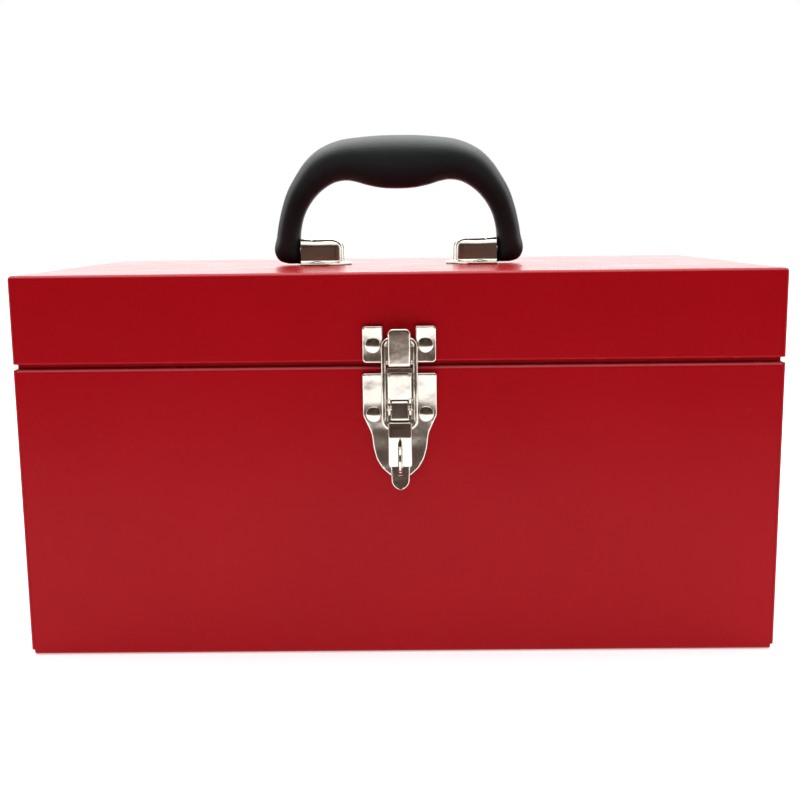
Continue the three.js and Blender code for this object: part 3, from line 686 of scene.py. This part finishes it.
def lid_end(name, side):
    """Lid's end panel: top flange, wall and hem."""
    sheet, hem = sheet_mm("thickness", "hem")
    mid = sheet / 2
    low, high = box_mm(f"lid_end_{name}")
    outer = max(abs(low.x), abs(high.x)) - mid
    top, edge, inner = high.z - mid, LID_EDGE + mid, outer - hem
    flange, bend = 12.5, 1.1
    corners = [(outer - flange, top), (outer, top, bend), (outer, edge, hem / 2), (inner, edge, hem / 2)]
    line = bent_line(sided(side, [*corners, (inner, LID_EDGE + HEM_DEPTH)]))
    return folded(f"lid_end_{name}_panel", *strip_rows(line, [low.y, high.y], along_y), sheet, PANEL_EDGE)


def weld_places(side, heights):
    """Centres of the spots that hold the corner flanges, sunk a little into the sheet."""
    sink, offset = 0.03, 0.6
    flange_y = HALF_D - sheet_mm("flange")[0] / 2 - offset
    return [(side * (HALF_W - sink), y * flange_y, z) for _, y in SIDES for z in heights]


def weld_spots(name, centres, side):
    """Shallow round marks that the welding electrodes leave on a flange."""
    radius, depth = 2.4, 0.14
    brim = [(radius * 0.8, depth), (radius, depth * 0.7), (radius * 1.15, -0.2)]
    profile = [(0, 0.02), (radius * 0.55, 0.02), *brim, (0, -0.2)]
    spots = [turned(f"{name}_{i}", profile, centre, (side, 0, 0), 20) for i, centre in enumerate(centres)]
    return joined(name, spots)


class TOOLBOX_OT_body(bpy.types.Operator):
    """Folds the body's sheets and its end panels"""

    bl_idname = "toolbox.body"
    bl_label = "Body"

    def execute(self, context):
        piece(body_shell(), "body", "paint", "body_shell")
        for name, side in SIDES:
            piece(body_end(name, side), "body", "paint", f"body_end_{name}")
            first, pitch, count = 18, 26, 5
            centres = weld_places(side, [first + pitch * k for k in range(count)])
            piece(weld_spots(f"body_end_{name}_welds", centres, side), "body", "paint")
        return {"FINISHED"}


class TOOLBOX_OT_lid(bpy.types.Operator):
    """Folds the lid's sheet and its end panels"""

    bl_idname = "toolbox.lid"
    bl_label = "Lid"

    def execute(self, context):
        piece(lid_shell(), "lid", "paint", "lid_shell")
        for name, side in SIDES:
            piece(lid_end(name, side), "lid", "paint", f"lid_end_{name}")
            low_spots = weld_places(side, [LID_EDGE + 12])
            first, pitch, count = -75, 30, 6
            centres = [(low_spots[0][0], first + pitch * k, LID_TOP - 7) for k in range(count)]
            piece(weld_spots(f"lid_end_{name}_welds", centres + low_spots, side), "lid", "paint")
        return {"FINISHED"}


# ---- draw latch ---------------------------------------------------------------------------
# Its outlines are in millimetres: across from the lever's pin, up from the table, out from the front.
PLATE_BACK = 0.3
GRID = 1.5


def latch_place(u, v, w):
    """From (across, up, out)."""
    return (LEVER_PIN.x + u, -HALF_D - w, v)


def latch_side(u, v, w):
    """From (out, up, across), for outlines that are seen from the side."""
    return (LEVER_PIN.x + w, -HALF_D - u, v)


def latch_plan(u, v, w):
    """From (across, out, up), for outlines that are seen from above."""
    return (LEVER_PIN.x + u, -HALF_D - v, w)


def plate_face():
    return PLATE_BACK + latch_mm("plate")


def latch_plate(name, contour, roll):
    return slab(name, contour, PLATE_BACK, plate_face(), 0.1, roll, latch_place)


def channel(name, half, low, high):
    """Sheet of 1 mm drawn up between two heights, from the right-hand half of its section."""
    return folded(name, *strip_rows(mirrored_line(half), [low, high], latch_plan), 1.0, 0.3, 3)


def latch_base():
    """Shield-shaped plate with a pressed channel, two ears for the pin and rolled edges."""
    point = [(4.6, 88, 2.5), (8.7, 91.7, 4), (11.1, 95.8, 6), (12.6, 101.2, 9), (13.4, 108, 9)]
    shield = both_sides([*point, (17.3, 116.6, 3.5), (17.3, 136.7, 1.3)])
    plate = latch_plate("latch_base_plate", rounded_contour(shield), latch_mm("roll"))
    cut(plate, hole(rectangle(-4, 4, 118, 140, [0.3] * 4), -1, 3, latch_place))
    # Riveted by its middle, the plate stands off a little towards its top and its point.
    dished(plate, GRID, lambda u, v: (0.0026 if v > 117 else 0.0016) * (v - 117) ** 2)
    # A dark, narrow tab runs on above the plate, behind the keeper's tongue.
    tab = latch_plate("latch_base_tab", rectangle(-6, 6, 135, 139, (0.3, 0.3, 1, 1)), 0.3)
    # The channel rises out of the plate on flared sides.
    upper = channel("latch_base_channel", [(5.0, 4.9, 0.8), (6.2, 1.2, 1.4), (9.0, 1.2)], 124.5, 136.5)
    dished(upper, GRID, lambda u, v: 0.085 * (v - 130))
    ear = [(0.9, 115.2, 0.3), (3.4, 115.2, 1.2), (7.5, 118.1, 3), (7.5, 123.4, 2), (5.2, 125.2, 1)]
    ear.append((0.9, 125.2, 0.2))
    ears = []
    for _, side in SIDES:
        low, high = sorted((side * 4.3, side * 5.35))
        ears.append(slab(f"latch_ear_{side}", rounded_contour(ear), low, high, 0.25, 0.25, latch_side))
    return joined("latch_base_pressing", [plate, tab, upper, *ears])


def latch_strike():
    """Plate with two ears and a pressed hump whose top is cut free as a tongue."""
    right = [(4.4, 141.4, 0.3), (17.1, 141.4, 1.9), (17.1, 158.6, 1.7), (7.7, 158.6, 0.6)]
    right += [(7.3, 149.6, 1.0), (4.4, 149.0, 0.3)]
    left = [(-u, v, r) for u, v, r in reversed(right)]
    plates = []
    for side, ear in (("left", left), ("right", right)):
        plates.append(latch_plate(f"latch_strike_ear_{side}", rounded_contour(ear), latch_mm("roll")))
        dished(plates[-1], GRID, lambda u, v: 0.0065 * max(0.0, v - 144.5) ** 2)
    plates.append(channel("latch_hump", [(4.6, 6.7, 0.7), (5.2, 0.95, 1.0), (7.4, 0.95)], 140.3, 151.0))
    tongue = rectangle(-5.2, 5.2, 140.3, 157.7, (0.9, 0.9, 2.4, 2.4))
    plates.append(slab("latch_tongue", tongue, 6.1, 7.35, 0.3, 1.0, latch_place))
    # The tongue curves in from its tip towards its root.
    tip = 158.0
    for part in plates[-2:]:
        dished(part, GRID, lambda u, v: -0.03 * (tip - v) - 0.001 * (tip - v) ** 2)
    return joined("latch_strike_pressing", plates)


def lever_sections():
    """Stations down the lever: height, half width, how far out the face is, and where the side walls end."""
    inner = plate_face() + 0.75
    main = [
        (114.3, 5.2, 6.6, inner), (113.9, 5.45, 7.3, inner), (111.0, 5.5, 7.9, inner),
        (108.6, 5.5, 8.35, inner), (107.2, 5.5, 8.45, inner), (106.2, 5.5, 8.3, inner + 0.1),
        (100.0, 5.55, 7.45, inner + 0.8), (95.0, 5.6, 6.7, inner + 2.2), (93.6, 5.5, 6.55, 5.1),
        (93.0, 4.7, 6.6, 5.6), (91.5, 4.45, 6.9, 5.9),
    ]
    tip_centre, tip_radius, steps = 87.0, 4.35, 8
    for k in range(steps + 1):
        drop = tip_radius * math.sin(math.pi / 2 * k / steps)
        half = max(0.5, tip_radius * math.cos(math.pi / 2 * k / steps))
        face = 7.3 + 0.13 * drop + 0.4 * (drop / tip_radius) ** 2
        main.append((tip_centre - drop, half, face, face - 0.9))
    return main


NOSE_SECTIONS = (
    (124.1, 3.7, 5.2, 2.4), (123.7, 3.9, 6.0, 2.3), (122.9, 3.9, 6.4, 2.2), (119.5, 4.0, 6.75, 2.2),
    (116.2, 4.3, 7.05, 2.2), (115.4, 4.3, 6.9, 2.2), (114.9, 4.2, 6.2, 2.2), (113.6, 4.0, 5.9, 2.2),
)


def channel_ring(height, half, face, wall_end, radius):
    """Across a channel: up one side wall, over the rounded shoulder, across the face and down again."""
    radius = min(radius, half * 0.8, max(0.1, face - wall_end))
    ring = [(half, wall_end), (half, face - radius)]
    steps = 5
    for k in range(1, steps + 1):
        angle = math.pi / 2 * k / steps
        ring.append((half - radius * (1 - math.cos(angle)), face - radius + radius * math.sin(angle)))
    crown = 0.18
    ring += [(half * f, face + crown * (1 - f * f)) for f in (0.45, 0)]
    mirror = [(-u, w) for u, w in reversed(ring[:-1])]
    return [(u, height, w) for u, w in [*ring, *mirror]]


def lofted_channel(name, stations, radius):
    rows = [channel_ring(*station, radius) for station in stations]
    points = [latch_place(*p) for row in rows for p in row]
    made = mesh_of(name, points, grid_faces(len(rows), len(rows[0])))
    facing = sum((p.normal for p in made.data.polygons), Vector()).y
    thicken(made, 0.9, -1.0 if facing < 0 else 1.0)
    return made


def latch_lever():
    """Channel-section lever: narrow nose on the pin, wide grip slotted for the staple, and a fingertip."""
    grip = lofted_channel("latch_lever_channel", lever_sections(), 0.9)
    nose = lofted_channel("latch_lever_nose", NOSE_SECTIONS, 0.7)
    slot = [(-1.05, 88.6, 0.9), (1.05, 88.6, 0.9), (1.05, 104.6, 0.5), (0.12, 107.1, 0.1)]
    slot += [(-0.12, 107.1, 0.1), (-1.05, 104.6, 0.5)]
    cut(grip, hole(rounded_contour(slot), 1, 14, latch_place))
    for part in (grip, nose):
        soften_edges(part, PANEL_EDGE)
    return joined("latch_lever_pressing", [grip, nose])


def bail_depth(height):
    """How far out the bail's wire lies at a height: it leans in by 0.1 mm over its 41 mm."""
    return (-HALF_D - BAIL_PIN.y) - 0.1 * (height - BAIL_PIN.z) / 41


def latch_bail():
    """Loop of wire, open at the bottom, where its ends turn in to pivot in the lever's side walls."""
    low, high = box_mm("latch_bail")
    wire = latch_mm("wire")
    half = (high.x - low.x) / 2 - wire / 2
    top, foot = high.z - wire / 2, BAIL_PIN.z
    corners = [(half, top, 3.6), (half, foot, 3.0), (4.4, foot)]
    line = mirrored_line(corners)
    curve = bpy.data.curves.new("latch_bail_wire", "CURVE")
    curve.dimensions = "3D"
    curve.bevel_depth = wire / 2 * MM
    curve.bevel_resolution = 5
    curve.use_fill_caps = True
    spline = curve.splines.new("POLY")
    spline.points.add(len(line) - 1)
    for point, (u, v) in zip(spline.points, line):
        point.co = (*(Vector(latch_place(u, v, bail_depth(v))) * MM), 1)
    spline.use_smooth = True
    select_only(placed("latch_bail_wire", curve))
    bpy.ops.object.convert(target="MESH")
    made = bpy.context.view_layer.objects.active
    clean(made)
    return made


def padlock_staple():
    """Flat eye that stands out through the lever's slot."""
    face = plate_face()
    low, high = box_mm("padlock_staple")
    reach = -HALF_D - low.y
    radius = (high.z - low.z) / 2 - 0.3
    blade = rectangle(face, reach, low.z, high.z, (0.3, radius, radius, 0.3))
    made = slab("padlock_staple_blade", blade, -0.6, 0.6, 0.25, 0.25, latch_side)
    cut(made, hole(circle_contour(reach - 5.5, (low.z + high.z) / 2, 3.2), -3, 3, latch_side))
    sole = rectangle(-0.6, 3.6, low.z, high.z, (0.2, 1.2, 1.2, 0.2))
    foot = slab("padlock_staple_foot", sole, face + 0.1, face + 1.1, 0.1, 0.3, latch_place)
    return joined("padlock_staple_plate", [made, foot])


class TOOLBOX_OT_latch(bpy.types.Operator):
    """Presses the draw latch's plates, lever, wire bail, padlock staple and rivets"""

    bl_idname = "toolbox.latch"
    bl_label = "Draw latch"

    def execute(self, context):
        piece(latch_base(), "body", "nickel", "latch_base")
        piece(latch_strike(), "lid", "nickel", "latch_strike")
        piece(latch_lever(), "latch_lever", "nickel", "latch_lever")
        piece(latch_bail(), "latch_bail", "nickel", "latch_bail")
        piece(padlock_staple(), "body", "nickel", "padlock_staple")
        profile = [(0, 5.9), (1.0, 5.9), (1.35, 5.6), (1.35, -5.6), (1.0, -5.9), (0, -5.9)]
        pin = turned("latch_pin", profile, LEVER_PIN, (1, 0, 0))
        piece(pin, "body", "nickel", "latch_pivot_pin")
        for owner, body in (("base", "body"), ("strike", "lid")):
            for name, _ in SIDES:
                rivet(f"latch_{owner}_rivet_{name}", body, (0, -1, 0), -HALF_D - plate_face(), 2.6)
        return {"FINISHED"}


# ---- carrying handle ----------------------------------------------------------------------
# From the foot of a leg to the middle of the grip: outer edge (x, z), inner edge (x, z), half thickness.
GRIP_STATIONS = (
    (61.2, 184.05, 54.2, 184.05, 1.6), (65.4, 185.4, 54.0, 185.4, 4.6), (67.7, 188.2, 54.0, 188.2, 6.4),
    (68.5, 192.5, 54.0, 192.5, 7.1), (67.1, 198.6, 53.9, 197.4, 7.4), (66.0, 205.2, 53.4, 203.0, 7.8),
    (64.0, 213.6, 51.8, 209.4, 8.5), (60.8, 223.0, 48.8, 215.5, 9.4), (56.0, 231.5, 44.5, 221.0, 10.3),
    (50.7, 239.0, 39.6, 225.1, 11.0), (44.3, 244.8, 34.2, 227.9, 11.5), (37.0, 248.6, 28.3, 228.8, 11.8),
    (29.0, 250.9, 23.0, 228.0, 11.9), (18.0, 252.1, 16.4, 226.1, 11.9), (9.0, 252.7, 8.6, 224.6, 11.9),
    (0.0, 252.8, 0.0, 224.2, 11.9),
)
BRACKET_SHEET = 1.0


def smooth_value(values, t):
    """Catmull-Rom value at t, from 0 at the first value to 1 at the last."""
    span = t * (len(values) - 1)
    i = min(int(span), len(values) - 2)
    f = span - i
    a, b, c, d = (values[max(0, min(len(values) - 1, i + k))] for k in (-1, 0, 1, 2))
    return 0.5 * (2 * b + (c - a) * f + (2 * a - 5 * b + 4 * c - d) * f**2 + (3 * b - a - 3 * c + d) * f**3)


def handle_grip():
    """Moulded grip: a lofted arch, oval in the hand and slimmer at the legs, with a full-round foot."""
    mirrored = [(-ox, oz, -ix, iz, half) for ox, oz, ix, iz, half in GRIP_STATIONS]
    columns = list(zip(*mirrored, *reversed(GRIP_STATIONS[:-1])))
    rows, around, fullness = 150, 48, 0.86
    points = []
    for r in range(rows + 1):
        ox, oz, ix, iz, half = (smooth_value(column, r / rows) for column in columns)
        outer, inner = Vector((ox, 0, oz)), Vector((ix, 0, iz))
        middle, arm = (outer + inner) / 2, (outer - inner) / 2
        for k in range(around):
            angle = 2 * math.pi * k / around
            across = math.copysign(abs(math.cos(angle)) ** fullness, math.cos(angle))
            depth = math.copysign(abs(math.sin(angle)) ** fullness, math.sin(angle))
            points.append(tuple(middle + arm * across + Vector((0, half * depth, 0))))
    faces = grid_faces(rows + 1, around, wrap=True)
    faces.append(tuple(reversed(range(around))))
    faces.append(tuple(range(rows * around, (rows + 1) * around)))
    made = mesh_of("handle_grip_moulding", points, faces)
    bore = circle_contour(HANDLE_PIN.y, HANDLE_PIN.z, 2.9)
    cut(made, *[hole(bore, *sorted((side * 48, side * 60)), along_x) for _, side in SIDES])
    return made


def fillet_normals(here, back, ahead, radius):
    """Rounded corner of an open path, with normals that point away from the arc's centre."""
    arc = fillet(here, back, ahead, radius)
    return [(point, -normal if normal.dot(back + ahead) > 0 else normal) for point, normal in arc]


def handle_bracket(name, side):
    """Pressed cup over the end of the handle's bar, on a flange that is riveted to the lid."""
    low, high = box_mm(f"handle_bracket_{name}")
    foot, top, reach = low.z, high.z, high.y
    inner = min(abs(low.x), abs(high.x)) + 4
    outer = max(abs(low.x), abs(high.x))
    half, plan_radius, shoulder = 7.0, 6.2, 6.2
    path = [(Vector((outer, -half)), Vector((0, -1)))]
    path += fillet_normals(Vector((inner, -half)), Vector((1, 0)), Vector((0, 1)), plan_radius)
    path += fillet_normals(Vector((inner, half)), Vector((0, -1)), Vector((1, 0)), plan_radius)
    path.append((Vector((outer, half)), Vector((0, 1))))
    # Up the wall: a fillet out of the flange, the wall, and a shoulder that is rounder inboard.
    seat = foot + BRACKET_SHEET
    points = []
    line = bent_line([(2.6, seat), (0.35, seat, 1.8), (0.0, top, 5.6), (-shoulder, top)])
    for offset, height in line:
        lean = 0.1 * max(0.0, -offset / shoulder) ** 1.5
        for point, normal in path:
            u, v = point + normal * offset
            points.append((side * (outer - (outer - u) * (1 - lean)), v, height))
    rows, columns = len(line), len(path)
    faces = grid_faces(rows, columns)
    faces.append(tuple((rows - 1) * columns + k for k in range(columns)))
    made = mesh_of(f"handle_bracket_{name}_cup", points, faces)
    upward = sum((p.normal * p.area for p in made.data.polygons), Vector()).z
    thicken(made, BRACKET_SHEET, -1.0 if upward > 0 else 1.0)
    notch_x = side * (outer - 5.9)
    notch = [(notch_x - 1.1, top + 1, 0.1), (notch_x, top - 2.6, 0.25), (notch_x + 1.1, top + 1, 0.1)]
    cut(made, hole(rounded_contour(notch), -12, 12, along_y))
    soften_edges(made, 0.18)
    flange = [(inner - 4, -6, 3), (inner + 7, -reach, 5), (outer, -reach, 2)]
    flange += [(u, -v, r) for u, v, r in reversed(flange)]
    if side < 0:
        flange = sided(side, reversed(flange))
    plate = slab(f"handle_bracket_{name}_flange", rounded_contour(flange), foot, seat, 0.1, 0.4, along_z)
    return joined(f"handle_bracket_{name}_pressing", [made, plate])


class TOOLBOX_OT_handle(bpy.types.Operator):
    """Moulds the handle's grip and presses its two brackets"""

    bl_idname = "toolbox.handle"
    bl_label = "Carrying handle"

    def execute(self, context):
        piece(handle_grip(), "handle", "grip", "handle_grip")
        for name, side in SIDES:
            piece(handle_bracket(name, side), "lid", "nickel", f"handle_bracket_{name}")
            seat = box_mm(f"handle_bracket_{name}")[0].z + BRACKET_SHEET
            for end in ("front", "back"):
                rivet(f"bracket_{name}_rivet_{end}", "lid", (0, 0, 1), seat, 2.3)
        dress("handle_core", "nickel")
        return {"FINISHED"}


# ---- hinges -------------------------------------------------------------------------------
LEAF, LEAF_FACE = 1.2, HALF_D + 0.3


def hinge_leaf(node, owner):
    """Leaf of a rear hinge: plate with rounded corners, and its knuckles round the pin."""
    low, high = box_mm(node)
    middle = (low.x + high.x) / 2
    width, count, gap = 44.0, 5, 0.12
    knuckle = width / count
    radius = HINGE_PIN.y - LEAF_FACE
    if owner == "body":
        bottom, top, first, radii = low.z, HINGE_PIN.z - radius - 0.4, 0, (3, 3, 0.3, 0.3)
        edge = top - 0.5
    else:
        bottom, top, first, radii = HINGE_PIN.z + radius + 0.4, high.z, 1, (0.3, 0.3, 3, 3)
        edge = bottom + 0.5

    def leaf_slab(name, contour, low_roll, high_roll):
        def back_place(u, v, w):
            return (middle + u, w, v)

        return slab(name, contour, LEAF_FACE, LEAF_FACE + LEAF, low_roll, high_roll, back_place)

    parts = [leaf_slab(node + "_plate", rectangle(-width / 2, width / 2, bottom, top, radii), 0.1, 0.35)]
    ring = circle_contour(HINGE_PIN.y, HINGE_PIN.z, radius, 40)
    for k in range(first, count, 2):
        x0 = middle - width / 2 + k * knuckle + gap
        x1 = x0 + knuckle - 2 * gap
        parts.append(slab(f"{node}_knuckle_{k}", ring, x0, x1, 0.25, 0.25, along_x))
        tab = rectangle(x0 - middle, x1 - middle, *sorted((edge, HINGE_PIN.z)), [0.1] * 4)
        parts.append(leaf_slab(f"{node}_tab_{k}", tab, 0.05, 0.05))
        if owner == "lid":
            parts.append(stop_tab(f"{node}_stop_{k}", x0, x1, radius - LEAF - 0.2))
    return joined(node + "_pressing", parts)


def stop_tab(name, x0, x1, face):
    """Tab on a lid knuckle that lands on the body leaf when the lid is fully open."""
    opened = math.radians(joint_named("lid_hinge")["range_deg"][1])
    corners = []
    for down, back in ((1.9, face), (1.9, face - 1), (6.6, face - 1), (6.6, face)):
        y = HINGE_PIN.y + down * math.sin(opened) - back * math.cos(opened)
        corners.append((y, HINGE_PIN.z - down * math.cos(opened) - back * math.sin(opened), 0.3))
    area = sum(a[0] * b[1] - b[0] * a[1] for a, b in zip(corners, corners[1:] + corners[:1]))
    outline = corners if area > 0 else corners[::-1]
    return slab(name, rounded_contour(outline), x0, x1, 0.15, 0.15, along_x)


class TOOLBOX_OT_hinges(bpy.types.Operator):
    """Forms the two rear hinges, their pins and rivets"""

    bl_idname = "toolbox.hinges"
    bl_label = "Hinges"

    def execute(self, context):
        for name, _ in SIDES:
            for owner in ("body", "lid"):
                leaf = f"hinge_{name}_{owner}_leaf"
                piece(hinge_leaf(leaf, owner), owner, "nickel", leaf)
                for i in (1, 2):
                    rivet(f"hinge_{name}_{owner}_rivet_{i}", owner, (0, 1, 0), LEAF_FACE + LEAF, 2.6)
            low, high = box_mm(f"hinge_{name}_pin")
            half = (high.x - low.x) / 2
            end = [(0, 0), (1.2, 0), (1.9, 0.25), (2.1, 0.6), (2.1, 1), (1.5, 1)]
            profile = [*[(r, half - h) for r, h in end], *[(r, h - half) for r, h in reversed(end)]]
            centre = ((low.x + high.x) / 2, HINGE_PIN.y, HINGE_PIN.z)
            pin = turned(f"hinge_{name}_pin_turned", profile, centre, (1, 0, 0))
            piece(pin, "body", "zinc", f"hinge_{name}_pin")
        return {"FINISHED"}


# ---- tray ---------------------------------------------------------------------------------
def tray_pan():
    """Tray with a rounded rim hem and small corner radii, bent up from one sheet and welded."""
    sheet, hem = sheet_mm("thickness", "hem")
    mid = sheet / 2
    low, high = box_mm("tray_pan")
    half_x, half_y, top, floor = high.x - mid, high.y - mid, high.z - mid, low.z + mid
    contour = rectangle(-half_x, half_x, -half_y, half_y, [3.2] * 4)
    profile = bent_line(
        [(-hem, top - 4.6), (-hem, top, hem / 2), (0, top, hem / 2), (0, floor, 2.2), (-3.0, floor)]
    )
    points = swept_rings(contour, profile)
    count = len(contour)
    faces = grid_faces(len(profile), count, wrap=True)
    faces.append(tuple(range(len(points) - count, len(points))))
    return folded("tray_pan_pressing", points, faces, sheet, PANEL_EDGE)


def tray_strap():
    """Lifting strap: a flat steel bow over the tray, joggled past the rim's hem."""
    thickness = 1.4
    rim = box_mm("tray_pan")[1].y
    high = box_mm("tray_handle")[1]
    wall = rim - 0.9 - 0.15 - thickness / 2
    leg = rim - 0.9 - 1.3 - 0.45 - thickness / 2
    line = mirrored_line([(leg, high.z - thickness / 2, 8), (leg, 131, 2), (wall, 126, 2), (wall, 103)])
    return folded("tray_strap_bow", *strip_rows(line, [-high.x, high.x], along_x), thickness, 0.35, 3)


class TOOLBOX_OT_tray(bpy.types.Operator):
    """Makes the lift-out tray, its strap, its rivets and the ledges it rests on"""

    bl_idname = "toolbox.tray"
    bl_label = "Lift-out tray"

    def execute(self, context):
        piece(tray_pan(), "tray", "paint", "tray_pan")
        piece(tray_strap(), "tray", "nickel", "tray_handle")
        wall = box_mm("tray_pan")[1].y
        for end, y in (("front", -1), ("back", 1)):
            for i in (1, 2):
                rivet(f"tray_rivet_{end}_{i}", "tray", (0, y, 0), y * wall, 2.65)
        for name, _ in SIDES:
            dress(f"tray_ledge_{name}", "paint")
        return {"FINISHED"}


# ---- studio -------------------------------------------------------------------------------
CAMERA_MM = Vector((5.32, -607.33, 204.52))
CAMERA_PITCH = 0.15941
CAMERA_YAW = 0.00924
CAMERA_ROLL = -0.01158
CARD = (0.12, 0.12, 0.13, 1)


def camera_matrix():
    """The camera looks along +Y, pitched down, with a little yaw and roll."""
    level = Matrix(((1, 0, 0), (0, 0, -1), (0, 1, 0)))
    yaw = Matrix.Rotation(-CAMERA_YAW, 3, "Z")
    pitch = Matrix.Rotation(CAMERA_PITCH, 3, "X")
    roll = Matrix.Rotation(CAMERA_ROLL, 3, "Z")
    right, down, ahead = roll @ pitch @ level @ yaw
    turn = Matrix((right, -down, -ahead)).transposed()
    return Matrix.Translation(CAMERA_MM * MM) @ turn.to_4x4()


def add_camera(lens):
    data = bpy.data.cameras.new("camera")
    data.lens = lens
    data.sensor_width = 36
    data.clip_start = 0.02
    data.clip_end = 50
    camera = placed("camera", data)
    camera.matrix_world = camera_matrix()
    bpy.context.scene.camera = camera


def add_softbox(name, place, aim, size, watts):
    data = bpy.data.lights.new(name, "AREA")
    data.shape = "RECTANGLE"
    data.size, data.size_y = size
    data.energy = watts
    light = placed(name, data)
    light.location = place
    light.rotation_euler = (Vector(aim) - Vector(place)).to_track_quat("-Z", "Y").to_euler()
    light.visible_camera = False


def add_world(room, tent, backdrop):
    """White tent all round, brighter behind, with the dim room showing through its open front."""
    world = bpy.data.worlds.new("tent")
    bpy.context.scene.world = world
    world.use_nodes = True
    tree = world.node_tree
    tree.nodes.clear()
    direction = add_node(tree, "ShaderNodeTexCoord").outputs["Generated"]
    parts = add_node(tree, "ShaderNodeSeparateXYZ", {0: direction})
    back, up = parts.outputs["Y"], parts.outputs["Z"]
    across = add_node(tree, "ShaderNodeMath", {0: parts.outputs["X"]}, operation="ABSOLUTE").outputs[0]
    behind = masked(tree, (back, 0.3, 0.8), (up, 0.45, 0.15))
    # Two grey cards beside the backdrop give the metal at the back and sides something to mirror.
    cards = masked(tree, (across, 0.46, 0.54), (across, 0.84, 0.76), (back, 0.0, 0.1), (up, 0.45, 0.35))
    # Furniture and daylight in the room: soft patches a few hand-breadths wide at arm's length.
    patches = add_node(tree, "ShaderNodeTexNoise", {"Vector": direction, "Scale": 3.5, "Detail": 2.0})
    clutter = masked(tree, (patches.outputs["Fac"], 0.35, 0.65))
    ground = masked(tree, (up, -0.1, -0.26))
    dim = layered(tree, shaded(room, 0.55), (clutter, shaded(room, 1.5)), (ground, shaded(room, 3.6)))
    open_front = masked(tree, (back, -0.15, -0.5), (up, 0.8, 0.6))
    camera_ray = add_node(tree, "ShaderNodeLightPath").outputs["Is Camera Ray"]
    shown = layered(
        tree, (*[tent] * 3, 1), (behind, (*[backdrop] * 3, 1)), (cards, CARD), (open_front, dim),
        (camera_ray, (1, 1, 1, 1)),
    )
    glow = add_node(tree, "ShaderNodeBackground", {"Color": shown, "Strength": 1.0})
    add_node(tree, "ShaderNodeOutputWorld", {"Surface": glow.outputs[0]})


class TOOLBOX_OT_stage(bpy.types.Operator):
    """Sets the white table, the tent, the softbox and the camera"""

    bl_idname = "toolbox.stage"
    bl_label = "Stage"

    def execute(self, context):
        studio = context.scene.toolbox_studio
        context.scene.view_settings.view_transform = "Standard"
        mesh = bpy.data.meshes.new("table")
        front, back, side = -0.62, 5.0, 4.0
        corners = [(-side, front, 0), (side, front, 0), (side, back, 0), (-side, back, 0)]
        mesh.from_pydata(corners, [], [(0, 1, 2, 3)])
        table = placed("table", mesh)
        table.location.z = -0.0002
        mesh.materials.append(MATERIALS["table"])
        add_world(tuple(studio.room), studio.tent, studio.backdrop)
        add_softbox("ceiling_softbox", (0, 0.25, 1.3), (0, 0, 0.1), (1.6, 1.2), studio.ceiling)
        add_camera(studio.lens)
        return {"FINISHED"}


# ---- panel and registration ---------------------------------------------------------------
PIECE_OPERATORS = (
    TOOLBOX_OT_body,
    TOOLBOX_OT_lid,
    TOOLBOX_OT_latch,
    TOOLBOX_OT_handle,
    TOOLBOX_OT_hinges,
    TOOLBOX_OT_tray,
    TOOLBOX_OT_stage,
)


class TOOLBOX_PT_panel(bpy.types.Panel):
    """Lists the toolbox's settings and the operators that build it"""

    bl_idname = "TOOLBOX_PT_panel"
    bl_label = "Steel toolbox"
    bl_space_type = "VIEW_3D"
    bl_region_type = "UI"
    bl_category = "Toolbox"

    def draw(self, context):
        for name, group in GROUPS:
            column = self.layout.column()
            for key in group.__annotations__:
                column.prop(getattr(context.scene, name), key)
        for operator in PIECE_OPERATORS:
            self.layout.operator(operator.bl_idname)


def register():
    for name, group in GROUPS:
        bpy.utils.register_class(group)
        setattr(bpy.types.Scene, name, PointerProperty(type=group))
    for entry in (*PIECE_OPERATORS, TOOLBOX_PT_panel):
        bpy.utils.register_class(entry)


def unregister():
    for entry in reversed((*PIECE_OPERATORS, TOOLBOX_PT_panel)):
        bpy.utils.unregister_class(entry)
    for name, group in reversed(GROUPS):
        delattr(bpy.types.Scene, name)
        bpy.utils.unregister_class(group)


def main():
    register()
    make_materials()
    bpy.ops.toolbox.stage()
    bpy.ops.toolbox.body()
    bpy.ops.toolbox.lid()
    bpy.ops.toolbox.latch()
    bpy.ops.toolbox.handle()
    bpy.ops.toolbox.hinges()
    bpy.ops.toolbox.tray()
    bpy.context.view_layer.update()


if __name__ == "__main__":
    main()
